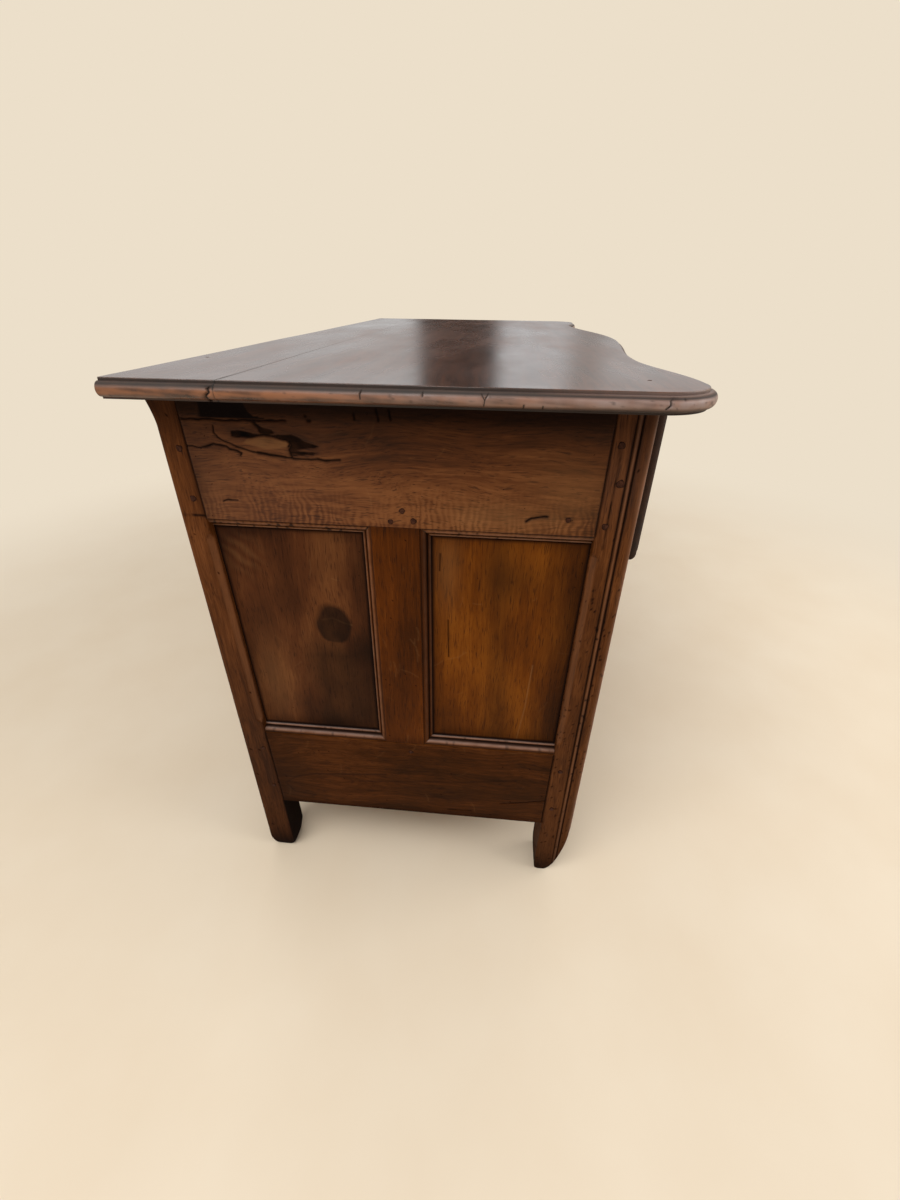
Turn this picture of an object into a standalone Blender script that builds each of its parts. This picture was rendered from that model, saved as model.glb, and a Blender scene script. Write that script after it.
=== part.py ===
"""French provincial walnut commode with a serpentine front.

A pegged frame-and-panel carcase carries a two-board moulded top and three lipped drawers, which slide on
rebated runners and are drawn by brass bail pulls. Metres, +Z up. The front faces -Y, and the origin is on
the floor under the middle of the top.
"""

import math

import bmesh
import bpy
from mathutils import Matrix, Vector

# Carcase
HEIGHT = 0.822
CARCASE_LENGTH = 1.23
CARCASE_DEPTH = 0.54
FIT_GAP = 0.0003
CUT_CLEARANCE = 0.002
SMOOTH_ANGLE = math.radians(35)

# Top boards and their moulded edge: a small step, then a round nose
TOP_THICKNESS = 0.020
TOP_END_OVERHANG = 0.055
TOP_FRONT_OVERHANG = 0.050
TOP_BACK_OVERHANG = 0.015
TOP_BACK_BOARD_WIDTH = 0.120
TOP_CORNER_RADIUS = 0.065
TOP_STEP_HEIGHT = 0.003
TOP_STEP_SET_BACK = 0.0085
TOP_NOSE_RADIUS = 0.0075
TOP_WAVE_FROM_END = 0.020

# Serpentine of the front, in plan: level at the posts, a dip beside each post and a swell in the middle
DIP_DEPTH = 0.027
DIP_FROM_POST = 0.152
SWELL = 0.012
END_STEP = 0.002

# Posts, a little wider at the foot than at the head
FRONT_POST_THICKNESS = 0.058
FRONT_POST_HEAD_WIDTH = 0.042
FRONT_POST_FOOT_WIDTH = 0.052
BACK_POST_THICKNESS = 0.048
BACK_POST_HEAD_WIDTH = 0.028
BACK_POST_FOOT_WIDTH = 0.045
POST_ARRIS_RADIUS = 0.005
POST_BEAD_FROM_CORNER = 0.015
POST_BEAD_WIDTH = 0.0065
POST_QUIRK_WIDTH = 0.0018
POST_QUIRK_DEPTH = 0.0016
POST_CHAMFER = 0.008
CHAMFER_FROM_RAIL = 0.018
CHAMFER_STOP_LENGTH = 0.010
BACK_POST_FLARE = 0.009
BACK_POST_FLARE_HEIGHT = 0.036
TOE_HEIGHT = 0.16
TOE_SET_BACK = 0.028
TOE_ROUNDNESS = 2.4

# End frames: rails, muntin and panels, with a moulding worked on the rails and the muntin
END_FRAME_THICKNESS = 0.024
END_TOP_RAIL_HEIGHT = 0.144
END_BOTTOM_RAIL_HEIGHT = 0.166
FLOOR_TO_END_RAIL = 0.132
MUNTIN_FACE_WIDTH = 0.058
MOULDING_WIDTH = 0.013
MOULDING_DEPTH = 0.012
PANEL_THICKNESS = 0.008
PANEL_GROOVE_DEPTH = 0.010
PANEL_SLACK = 0.002
TENON_LENGTH = 0.018
TENON_SHOULDER = 0.014
MUNTIN_TENON_LENGTH = 0.022

# Front rails
FRONT_TOP_RAIL_THICKNESS = 0.018
DIVIDER_THICKNESS = 0.020
FRONT_RAIL_DEPTH = 0.076
APRON_THICKNESS = 0.024
APRON_HEIGHT = 0.082
APRON_ARCH = 0.030
RAIL_TENON_LENGTH = 0.022
RAIL_TENON_WIDTH = 0.022
RAIL_TENON_THICKNESS = 0.008
RAIL_TENON_SET_BACK = 0.012

# Back: two rails, with two lapped boards in their grooves
BACK_RAIL_THICKNESS = 0.022
BACK_RAIL_HEIGHT = 0.085
BACK_RAIL_SET_IN = 0.003
BACK_BOARD_THICKNESS = 0.010
BACK_BOARD_LAP = 0.008
BACK_GROOVE_DEPTH = 0.009

# Drawer openings and the runners under them
TOP_OPENING_HEIGHT = 0.170
MIDDLE_OPENING_HEIGHT = 0.186
BOTTOM_OPENING_HEIGHT = 0.184
RUNNER_THICKNESS = 0.020
RUNNER_BEARING = 0.020
RUNNER_GUIDE_HEIGHT = 0.016
RUNNER_TENON_LENGTH = 0.010
RUNNER_TENON_THICKNESS = 0.008
RUNNER_TENON_WIDTH = 0.014

# Drawers, of which the upper one isn't pushed quite home
UPPER_DRAWER_AJAR = 0.010
DRAWER_PROUD = 0.015
DRAWER_LIP = 0.007
DRAWER_LIP_EDGE = 0.004
DRAWER_LIP_ROUND = 0.009
DRAWER_LIP_FILLET = 0.0015
DRAWER_CORE_DEPTH = 0.017
DRAWER_SIDE_CLEARANCE = 0.0015
DRAWER_HEAD_CLEARANCE = 0.003
DRAWER_SIDE_THICKNESS = 0.012
DRAWER_BACK_THICKNESS = 0.012
DRAWER_BACK_CLEARANCE = 0.018
DRAWER_BACK_DADO = 0.004
DRAWER_BACK_DROP = 0.010
DRAWER_BOTTOM_THICKNESS = 0.008
DRAWER_BOTTOM_GROOVE = 0.005
DRAWER_BOTTOM_LIFT = 0.009
DOVETAIL_COUNT = 3
DOVETAIL_LENGTH = 0.011
DOVETAIL_FLARE = 0.003
DOVETAIL_PIN_WIDTH = 0.012

# Bail pulls and escutcheons
PULL_FROM_POST = 0.225
PULL_PLATE_LENGTH = 0.122
PULL_PLATE_HEIGHT = 0.052
PULL_PLATE_THICKNESS = 0.002
PULL_POST_SPACING = 0.080
PULL_POST_RADIUS = 0.005
PULL_POST_SEAT_RADIUS = 0.0065
PULL_POST_SEAT_HEIGHT = 0.004
PULL_POST_NECK_RADIUS = 0.0045
PULL_POST_TIP_RADIUS = 0.003
PULL_POST_CAP = 0.005
BAIL_STAND_OFF = 0.012
BAIL_PIN_RADIUS = 0.0022
BAIL_HOLE_RADIUS = 0.0028
BAIL_GRIP_RADIUS = 0.0036
BAIL_DROP = 0.040
BAIL_ELBOW = 0.007
ESCUTCHEON_WIDTH = 0.026
ESCUTCHEON_HEIGHT = 0.046
ESCUTCHEON_THICKNESS = 0.002
ESCUTCHEON_FROM_TOP = 0.060
KEYHOLE_RADIUS = 0.0032
KEYHOLE_SLOT_WIDTH = 0.0030
KEYHOLE_SLOT_LENGTH = 0.011
KEYHOLE_DEPTH = 0.014

# Worked out from the sizes above
UNDER_TOP = HEIGHT - TOP_THICKNESS
OUTER_X = CARCASE_LENGTH / 2
POST_INNER_X = OUTER_X - FRONT_POST_THICKNESS
DIP_X = POST_INNER_X - DIP_FROM_POST
TOP_DEPTH = TOP_BACK_OVERHANG + CARCASE_DEPTH + TOP_FRONT_OVERHANG + SWELL
BACK_Y = TOP_DEPTH / 2 - TOP_BACK_OVERHANG
FRONT_Y = BACK_Y - CARCASE_DEPTH
END_RAIL_SIGHT_TOP = UNDER_TOP - END_TOP_RAIL_HEIGHT
END_RAIL_SIGHT_BOTTOM = FLOOR_TO_END_RAIL + END_BOTTOM_RAIL_HEIGHT
GROOVE_START = MOULDING_DEPTH
GROOVE_END = MOULDING_DEPTH + PANEL_THICKNESS + 2 * FIT_GAP
MUNTIN_Y = FRONT_Y + (CARCASE_DEPTH + FRONT_POST_HEAD_WIDTH - BACK_POST_HEAD_WIDTH) / 2
DRAWER_FACE_OUT = FIT_GAP + DRAWER_PROUD
DRAWER_BACK_Y = BACK_Y - BACK_RAIL_SET_IN - BACK_RAIL_THICKNESS - DRAWER_BACK_CLEARANCE
CORE_HALF = POST_INNER_X - DRAWER_SIDE_CLEARANCE
SIDES = {"left": -1, "right": 1}

TOP_OPENING_HEAD = UNDER_TOP - FRONT_TOP_RAIL_THICKNESS
TOP_OPENING_SILL = TOP_OPENING_HEAD - TOP_OPENING_HEIGHT
MIDDLE_OPENING_HEAD = TOP_OPENING_SILL - DIVIDER_THICKNESS
MIDDLE_OPENING_SILL = MIDDLE_OPENING_HEAD - MIDDLE_OPENING_HEIGHT
BOTTOM_OPENING_HEAD = MIDDLE_OPENING_SILL - DIVIDER_THICKNESS
BOTTOM_OPENING_SILL = BOTTOM_OPENING_HEAD - BOTTOM_OPENING_HEIGHT
OPENINGS = {
    "upper": (TOP_OPENING_SILL, TOP_OPENING_HEAD),
    "middle": (MIDDLE_OPENING_SILL, MIDDLE_OPENING_HEAD),
    "lower": (BOTTOM_OPENING_SILL, BOTTOM_OPENING_HEAD),
}


# Plan of the front and edges of the posts


def serpentine(x, level_from):
    """How far the front swells outwards at x: half waves to the dip and on to the middle, level beyond."""
    reach = abs(x)
    if reach >= level_from:
        return 0.0
    if reach > DIP_X:
        return -DIP_DEPTH * (1 - math.cos(math.pi * (level_from - reach) / (level_from - DIP_X))) / 2
    return (DIP_DEPTH + SWELL) * (1 + math.cos(math.pi * reach / DIP_X)) / 2 - DIP_DEPTH


def front_line(x):
    """Y of the rails' front face at x."""
    return FRONT_Y - serpentine(x, POST_INNER_X)


def top_line(x):
    """Y of the top's front edge at x. Its wave starts nearer the end than that of the rails."""
    return FRONT_Y - TOP_FRONT_OVERHANG - serpentine(x, OUTER_X - TOP_WAVE_FROM_END)


def front_stations(half_length, level_from=POST_INNER_X):
    """Places along the front from left to right, closer together where the curve is tight."""
    near_end = [level_from - (level_from - DIP_X) * i / 7 for i in range(1, 8)]
    middle = [DIP_X * i / 10 for i in range(9, 0, -1)]
    curve_start = min(level_from, half_length - END_STEP)
    right_half = [half_length, curve_start, *near_end, *middle]
    return [-x for x in right_half] + [0.0] + right_half[::-1]


def front_inner(z):
    """Y of the front posts' inner edge at height z."""
    share = z / UNDER_TOP
    return FRONT_Y + FRONT_POST_FOOT_WIDTH + (FRONT_POST_HEAD_WIDTH - FRONT_POST_FOOT_WIDTH) * share


def back_inner(z):
    """Y of the back posts' inner edge at height z."""
    share = z / UNDER_TOP
    return BACK_Y - BACK_POST_FOOT_WIDTH - (BACK_POST_HEAD_WIDTH - BACK_POST_FOOT_WIDTH) * share


def back_outer(z):
    """Y of the back posts' outer edge at height z: straight, with a small flare under the top."""
    rise = max(0.0, z - UNDER_TOP + BACK_POST_FLARE_HEIGHT) / BACK_POST_FLARE_HEIGHT
    return BACK_Y + BACK_POST_FLARE * rise**1.5


# Solids


def closed_solid(bm):
    bmesh.ops.recalc_face_normals(bm, faces=bm.faces)
    return bm


def loft(rings, strip_caps=False):
    """A solid through rings of matching points. Strip caps join the first half of a ring to the second."""
    bm = bmesh.new()
    loops = [[bm.verts.new(point) for point in ring] for ring in rings]
    count = len(loops[0])
    for low, high in zip(loops, loops[1:]):
        for i in range(count):
            j = (i + 1) % count
            bm.faces.new((low[i], low[j], high[j], high[i]))
    for loop in (loops[0], loops[-1]):
        if strip_caps:
            for i in range(count // 2 - 1):
                bm.faces.new((loop[i], loop[i + 1], loop[-2 - i], loop[-1 - i]))
        else:
            bm.faces.new(loop)
    return closed_solid(bm)


def prism(outline, axis, start, end):
    """A flat outline carried along an axis. Each end is a place on it, or a function of the outline's points."""

    def ring(level):
        points = []
        for u, v in outline:
            along = level(u, v) if callable(level) else level
            points.append({"x": (along, u, v), "y": (u, along, v), "z": (u, v, along)}[axis])
        return points

    return loft([ring(start), ring(end)])


def box(low, high):
    outline = [(low[0], low[1]), (high[0], low[1]), (high[0], high[1]), (low[0], high[1])]
    return prism(outline, "z", low[2], high[2])


def grown_box(low, high, gap=FIT_GAP):
    """The box of a tenon or a board with the fitting gap round it."""
    return box([value - gap for value in low], [value + gap for value in high])


def together(shapes):
    """Several separate shapes as one mesh, for use as a cutter or an addition."""
    bm = bmesh.new()
    for shape in shapes:
        mesh = bpy.data.meshes.new("shape")
        shape.to_mesh(mesh)
        bm.from_mesh(mesh)
        bpy.data.meshes.remove(mesh)
    return bm


def arc(centre, radius, start, end, steps):
    """Points on an arc in a plane, with angles in degrees."""
    points = []
    for i in range(steps + 1):
        angle = math.radians(start + (end - start) * i / steps)
        points.append((centre[0] + radius * math.cos(angle), centre[1] + radius * math.sin(angle)))
    return points


# Objects


def finish(name, colour, roughness, metallic=0.0):
    material = bpy.data.materials.new(name)
    material.use_nodes = True
    shader = material.node_tree.nodes["Principled BSDF"]
    shader.inputs["Base Color"].default_value = (*colour, 1.0)
    shader.inputs["Roughness"].default_value = roughness
    shader.inputs["Metallic"].default_value = metallic
    return material


def empty(name, place):
    obj = bpy.data.objects.new(name, None)
    obj.location = place
    bpy.context.scene.collection.objects.link(obj)
    return obj


def add_part(name, bm, material, parent, origin=None, smooth=False):
    """A named piece with its origin at its own place, or on its joint axis when origin is given."""
    if origin is None:
        corners = [vert.co for vert in bm.verts]
        origin = Vector([(min(c[i] for c in corners) + max(c[i] for c in corners)) / 2 for i in range(3)])
    mesh = bpy.data.meshes.new(name)
    bmesh.ops.translate(bm, verts=bm.verts, vec=-Vector(origin))
    bm.to_mesh(mesh)
    mesh.materials.append(material)
    if smooth:
        mesh.shade_smooth()
        mesh.set_sharp_from_angle(angle=SMOOTH_ANGLE)
    obj = bpy.data.objects.new(name, mesh)
    bpy.context.scene.collection.objects.link(obj)
    obj.parent = parent
    obj.location = Vector(origin) - parent.location
    return obj


def work(obj, bm, operation):
    """Cuts a shape out of a piece, or adds one to it, with a Boolean. The tool moves with the piece's body."""
    mesh = bpy.data.meshes.new(f"{obj.name}_tool")
    bm.to_mesh(mesh)
    mesh.shade_smooth()
    mesh.set_sharp_from_angle(angle=SMOOTH_ANGLE)
    tool = bpy.data.objects.new(f"{obj.name}_tool_{len(obj.modifiers) + 1}", mesh)
    tool.hide_render = True
    tool.display_type = "WIRE"
    bpy.context.scene.collection.objects.link(tool)
    tool.parent = obj.parent
    tool.location = -obj.parent.location
    modifier = obj.modifiers.new(f"joinery_{len(obj.modifiers) + 1}", "BOOLEAN")
    modifier.operation = operation
    modifier.object = tool


def cut(obj, *shapes):
    for shape in shapes:
        work(obj, shape, "DIFFERENCE")


def join(obj, *shapes):
    for shape in shapes:
        work(obj, shape, "UNION")


# Top


def top_edge_profile():
    """(set back from the outermost line, height) from the top surface round the nose to the underside."""
    nose_centre = (TOP_NOSE_RADIUS, HEIGHT - TOP_STEP_HEIGHT - TOP_NOSE_RADIUS)
    nose = arc(nose_centre, TOP_NOSE_RADIUS, 90, 270, 8)
    foot = (TOP_NOSE_RADIUS, UNDER_TOP)
    step = (TOP_STEP_SET_BACK, HEIGHT - TOP_STEP_HEIGHT)
    return [(TOP_STEP_SET_BACK, HEIGHT), step, *nose, foot]


def top_plan(joint_y):
    """Points and outward normals round the front board, from its joint at the left end to the right end."""
    end_x = OUTER_X + TOP_END_OVERHANG
    corner_y = FRONT_Y - TOP_FRONT_OVERHANG + TOP_CORNER_RADIUS
    corner_x = end_x - TOP_CORNER_RADIUS
    right = [((end_x, joint_y), (1.0, 0.0))]
    for i in range(9):
        angle = math.radians(-90 * i / 8)
        normal = (math.cos(angle), math.sin(angle))
        point = (corner_x + TOP_CORNER_RADIUS * normal[0], corner_y + TOP_CORNER_RADIUS * normal[1])
        right.append((point, normal))
    front = []
    wave_start = OUTER_X - TOP_WAVE_FROM_END
    for x in front_stations(wave_start + END_STEP, wave_start):
        slope = (top_line(x + END_STEP) - top_line(x - END_STEP)) / (2 * END_STEP)
        length = math.hypot(1, slope)
        front.append(((x, top_line(x)), (slope / length, -1 / length)))
    left = [((-x, y), (-nx, ny)) for (x, y), (nx, ny) in right]
    return left + front + right[::-1]


def make_top(parent, material):
    joint_y = BACK_Y + TOP_BACK_OVERHANG - TOP_BACK_BOARD_WIDTH
    rings = []
    for set_back, z in top_edge_profile():
        ring = [(x - nx * set_back, y - ny * set_back, z) for (x, y), (nx, ny) in top_plan(joint_y)]
        rings.append(ring)
    add_part("top_board_front", loft(rings), material, parent, smooth=True)

    end_x = OUTER_X + TOP_END_OVERHANG
    right = [(end_x - set_back, z) for set_back, z in top_edge_profile()]
    outline = right + [(-x, z) for x, z in right[::-1]]
    back_board = prism(outline, "y", joint_y + FIT_GAP, BACK_Y + TOP_BACK_OVERHANG)
    add_part("top_board_back", back_board, material, parent, smooth=True)


# Posts


def run_bead(start):
    """(along the face, depth) of a bead between two quirks, from its near quirk to its far one."""
    middle = start + POST_BEAD_WIDTH / 2
    quirk = POST_QUIRK_WIDTH / 2
    crown = []
    for i in range(1, 6):
        angle = math.pi * i / 6
        along = middle - (POST_BEAD_WIDTH / 2 - quirk) * math.cos(angle)
        crown.append((along, POST_QUIRK_DEPTH * (1 - math.sin(angle))))
    end = start + POST_BEAD_WIDTH
    near = [(start - quirk, 0.0), (start, POST_QUIRK_DEPTH)]
    return near + crown + [(end, POST_QUIRK_DEPTH), (end + quirk, 0.0)]


def front_post_section(inner_width):
    """(depth from the end face, width from the front face) round a front post."""
    bead = run_bead(POST_BEAD_FROM_CORNER)
    corner = arc((POST_ARRIS_RADIUS, POST_ARRIS_RADIUS), POST_ARRIS_RADIUS, 180, 270, 5)
    end_face = [(depth, along) for along, depth in bead[::-1]]
    inner_side = [(FRONT_POST_THICKNESS, 0.0), (FRONT_POST_THICKNESS, inner_width)]
    return [(0.0, inner_width), *end_face, *corner, *bead, *inner_side]


def post_chamfer(side, inner_edge, towards):
    """Cutter for the stopped chamfer on a post's inner arris, with sloping stops at both ends."""
    low = END_RAIL_SIGHT_BOTTOM + CHAMFER_FROM_RAIL
    high = END_RAIL_SIGHT_TOP - CHAMFER_FROM_RAIL
    levels = [(low, FIT_GAP), (low + CHAMFER_STOP_LENGTH, POST_CHAMFER)]
    levels += [(high - CHAMFER_STOP_LENGTH, POST_CHAMFER), (high, FIT_GAP)]
    rings = []
    for z, size in levels:
        edge = inner_edge(z)
        inside, outside = size + CUT_CLEARANCE, -CUT_CLEARANCE
        corners = [(outside, inside), (inside, outside), (outside, outside)]
        rings.append([(side * (OUTER_X - depth), edge - towards * reach, z) for depth, reach in corners])
    return loft(rings)


def panel_groove(side, inner_edge, towards):
    """Cutter for the groove that holds an end panel in a post."""
    low = END_RAIL_SIGHT_BOTTOM + MOULDING_WIDTH - PANEL_GROOVE_DEPTH
    high = END_RAIL_SIGHT_TOP - MOULDING_WIDTH + PANEL_GROOVE_DEPTH
    mouth = [(inner_edge(z) + towards * CUT_CLEARANCE, z) for z in (low, high)]
    floor = [(inner_edge(z) - towards * PANEL_GROOVE_DEPTH, z) for z in (high, low)]
    outline = mouth + floor
    return prism(outline, "x", side * (OUTER_X - GROOVE_START), side * (OUTER_X - GROOVE_END))


def toe_cutter(side):
    """Cutter for the front foot's toe, which curves in towards the floor."""
    curve = []
    for i in range(11):
        z = TOE_HEIGHT * i / 10
        curve.append((FRONT_Y + TOE_SET_BACK * (1 - z / TOE_HEIGHT) ** TOE_ROUNDNESS, z))
    curve[0] = (curve[0][0], -CUT_CLEARANCE)
    outline = curve[:-1] + [(FRONT_Y - CUT_CLEARANCE, TOE_HEIGHT), (FRONT_Y - CUT_CLEARANCE, -CUT_CLEARANCE)]
    outer = side * (OUTER_X + CUT_CLEARANCE)
    return prism(outline, "x", outer, side * (POST_INNER_X - CUT_CLEARANCE))


def make_posts(parent, material):
    head = UNDER_TOP - FIT_GAP
    for name, side in SIDES.items():
        rings = []
        for z in (0.0, head):
            section = front_post_section(front_inner(z) - FRONT_Y)
            rings.append([(side * (OUTER_X - depth), FRONT_Y + width, z) for depth, width in section])
        front = add_part(f"front_post_{name}", loft(rings), material, parent, smooth=True)
        cut(front, toe_cutter(side), post_chamfer(side, front_inner, 1), panel_groove(side, front_inner, 1))
        mortises = end_rail_tenons(side) + [tenon for rail in FRONT_RAILS for tenon in rail_tenons(rail, side)]
        cut(front, together([grown_box(*tenon) for tenon in mortises]))

        rings = []
        for z in (0.0, *(head - BACK_POST_FLARE_HEIGHT * (1 - i / 4) for i in range(5))):
            inner, outer = back_inner(z), back_outer(z)
            corners = [(0, inner), (0, outer), (BACK_POST_THICKNESS, outer), (BACK_POST_THICKNESS, inner)]
            rings.append([(side * (OUTER_X - depth), y, z) for depth, y in corners])
        back = add_part(f"back_post_{name}", loft(rings), material, parent, smooth=True)
        cut(back, post_chamfer(side, back_inner, -1), panel_groove(side, back_inner, -1))
        mortises = end_rail_tenons(side) + back_rail_tenons(side)
        mortises += [runner_back_tenon(sill, side) for sill, _ in OPENINGS.values()]
        cut(back, together([grown_box(*tenon) for tenon in mortises]), back_board_groove(side))


# End frames


def sided_box(side, depths, ys, zs):
    """Low and high corners of a box given by its depths in from an end's outer face."""
    xs = sorted(side * (OUTER_X - depth) for depth in depths)
    return (xs[0], ys[0], zs[0]), (xs[1], ys[1], zs[1])


def end_rail_tenons(side):
    """Boxes that run through the end rails and stand out of both ends as tenons."""
    boxes = []
    top = (END_RAIL_SIGHT_TOP + TENON_SHOULDER, UNDER_TOP - TENON_SHOULDER)
    bottom = (FLOOR_TO_END_RAIL + TENON_SHOULDER, END_RAIL_SIGHT_BOTTOM - TENON_SHOULDER)
    depths = (GROOVE_START, GROOVE_START + PANEL_THICKNESS)
    for low, high in (top, bottom):
        middle = (low + high) / 2
        ys = (front_inner(middle) - TENON_LENGTH, back_inner(middle) + TENON_LENGTH)
        boxes.append(sided_box(side, depths, ys, (low, high)))
    return boxes


def stuck_moulding():
    """(run towards the panel, depth) of the worked moulding: a fillet, an ovolo, a quirk and a small bead."""
    points = [(0.0, 0.0), (0.0, 0.18)]
    for i in range(5):
        angle = math.pi / 2 * i / 4
        points.append((0.08 + 0.54 * math.sin(angle), 0.75 - 0.57 * math.cos(angle)))
    points.append((0.64, 0.84))
    for i in range(4):
        angle = math.pi / 2 * i / 3
        points.append((0.72 + 0.28 * math.sin(angle), 0.98 - 0.22 * math.cos(angle)))
    points.append((1.0, 1.0))
    return [(run * MOULDING_WIDTH, depth * MOULDING_DEPTH) for run, depth in points]


def end_rail_section(outer_edge, sight_line, towards):
    """(depth, height) of an end rail, from its plain edge to the moulded and grooved edge by the panels."""
    edge = sight_line + towards * MOULDING_WIDTH
    groove = edge - towards * PANEL_GROOVE_DEPTH
    moulding = [(depth, sight_line + towards * run) for run, depth in stuck_moulding()]
    panel_edge = [(GROOVE_START, groove), (GROOVE_END, groove), (GROOVE_END, edge)]
    back = [(END_FRAME_THICKNESS, edge), (END_FRAME_THICKNESS, outer_edge)]
    return [(0.0, outer_edge), *moulding, *panel_edge, *back]


def mitre_outline(sight_line, towards, beyond):
    """Outline of the mitred seat of the muntin on a rail, from the sight line to a level beyond it."""
    half = MUNTIN_FACE_WIDTH / 2
    reach = MOULDING_WIDTH + CUT_CLEARANCE
    seat = [(-half - reach, towards * reach), (-half, 0.0), (half, 0.0), (half + reach, towards * reach)]
    rest = [(half + reach, beyond), (-half - reach, beyond)] if beyond else []
    return [(MUNTIN_Y + y, sight_line + z) for y, z in seat + rest]


def muntin_tenon(side):
    low = END_RAIL_SIGHT_BOTTOM - MUNTIN_TENON_LENGTH
    high = END_RAIL_SIGHT_TOP + MUNTIN_TENON_LENGTH
    ys = (MUNTIN_Y - MUNTIN_FACE_WIDTH / 4, MUNTIN_Y + MUNTIN_FACE_WIDTH / 4)
    return sided_box(side, (GROOVE_START, GROOVE_START + PANEL_THICKNESS), ys, (low, high))


def through_end(side):
    """Outer and inner X of a cutter that passes right through an end frame."""
    return side * (OUTER_X + CUT_CLEARANCE), side * (OUTER_X - END_FRAME_THICKNESS - CUT_CLEARANCE)


def make_end_rails(name, side, parent, material):
    rails = {
        "top": (UNDER_TOP - FIT_GAP, END_RAIL_SIGHT_TOP, -1),
        "bottom": (FLOOR_TO_END_RAIL, END_RAIL_SIGHT_BOTTOM, 1),
    }
    for (place, (outer_edge, sight_line, towards)), tenon in zip(rails.items(), end_rail_tenons(side)):
        section = end_rail_section(outer_edge, sight_line, towards)
        outline = [(side * (OUTER_X - depth), z) for depth, z in section]
        bm = prism(outline, "y", lambda x, z: front_inner(z) + FIT_GAP, lambda x, z: back_inner(z) - FIT_GAP)
        rail = add_part(f"end_{place}_rail_{name}", bm, material, parent, smooth=True)
        join(rail, box(*tenon))
        seat = prism(mitre_outline(sight_line, towards, None), "x", *through_end(side))
        cut(rail, seat, grown_box(*muntin_tenon(side)))


def make_muntin(name, side, parent, material):
    half = MUNTIN_FACE_WIDTH / 2
    right = [(depth, half + run) for run, depth in stuck_moulding()]
    edge = half + MOULDING_WIDTH
    groove = edge - PANEL_GROOVE_DEPTH
    right += [(GROOVE_START, groove), (GROOVE_END, groove), (GROOVE_END, edge), (END_FRAME_THICKNESS, edge)]
    section = right + [(depth, -y) for depth, y in right[::-1]]
    outline = [(side * (OUTER_X - depth), MUNTIN_Y + y) for depth, y in section]
    bm = prism(outline, "z", END_RAIL_SIGHT_BOTTOM - FIT_GAP, END_RAIL_SIGHT_TOP + FIT_GAP)
    muntin = add_part(f"end_muntin_{name}", bm, material, parent, smooth=True)
    beyond = MOULDING_WIDTH
    for sight_line, towards in ((END_RAIL_SIGHT_TOP - FIT_GAP, -1), (END_RAIL_SIGHT_BOTTOM + FIT_GAP, 1)):
        cut(muntin, prism(mitre_outline(sight_line, towards, -towards * beyond), "x", *through_end(side)))
    join(muntin, box(*muntin_tenon(side)))


def make_end_panels(name, side, parent, material):
    low = END_RAIL_SIGHT_BOTTOM + MOULDING_WIDTH - PANEL_GROOVE_DEPTH + PANEL_SLACK
    high = END_RAIL_SIGHT_TOP - MOULDING_WIDTH + PANEL_GROOVE_DEPTH - PANEL_SLACK
    into = PANEL_GROOVE_DEPTH - PANEL_SLACK
    from_middle = MUNTIN_FACE_WIDTH / 2 + MOULDING_WIDTH - into
    depths = (GROOVE_START + FIT_GAP, GROOVE_START + FIT_GAP + PANEL_THICKNESS)
    ends = [side * (OUTER_X - depth) for depth in depths]
    for place, inner_edge, towards in (("front", front_inner, -1), ("back", back_inner, 1)):
        post_edge = [(inner_edge(z) + towards * into, z) for z in (low, high)]
        muntin_edge = [(MUNTIN_Y + towards * from_middle, z) for z in (high, low)]
        bm = prism(post_edge + muntin_edge, "x", *ends)
        add_part(f"end_panel_{place}_{name}", bm, material, parent)


def make_ends(parent, frame_wood, panel_wood):
    for name, side in SIDES.items():
        make_end_rails(name, side, parent, frame_wood)
        make_muntin(name, side, parent, frame_wood)
        make_end_panels(name, side, parent, panel_wood)


# Front rails

FRONT_RAILS = {
    "front_top_rail": (TOP_OPENING_HEAD, UNDER_TOP - FIT_GAP),
    "upper_divider": (MIDDLE_OPENING_HEAD, TOP_OPENING_SILL),
    "lower_divider": (BOTTOM_OPENING_HEAD, MIDDLE_OPENING_SILL),
    "front_apron": (BOTTOM_OPENING_SILL - APRON_HEIGHT, BOTTOM_OPENING_SILL),
}


def rail_tenons(rail, side):
    """The box of a front rail's tenon in a post, reaching well back into the rail."""
    low, high = FRONT_RAILS[rail]
    depths = (FRONT_POST_THICKNESS - RAIL_TENON_LENGTH, FRONT_POST_THICKNESS + RAIL_TENON_LENGTH)
    front = FRONT_Y + RAIL_TENON_SET_BACK
    if rail == "front_apron":
        middle = FRONT_Y + APRON_THICKNESS / 2
        ys = (middle - RAIL_TENON_THICKNESS / 2, middle + RAIL_TENON_THICKNESS / 2)
        zs = (low + TENON_SHOULDER, high - TENON_SHOULDER)
    else:
        middle = (low + high) / 2
        ys = (front, front + RAIL_TENON_WIDTH)
        zs = (middle - RAIL_TENON_THICKNESS / 2, middle + RAIL_TENON_THICKNESS / 2)
    return [sided_box(side, depths, ys, zs)]


def apron_edge(x):
    """Height of the apron's lower edge: an arch on each side of a low middle, and low ends."""
    share = abs(x) / POST_INNER_X
    return BOTTOM_OPENING_SILL - APRON_HEIGHT + APRON_ARCH * (1 - math.cos(2 * math.pi * share)) / 2


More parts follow.
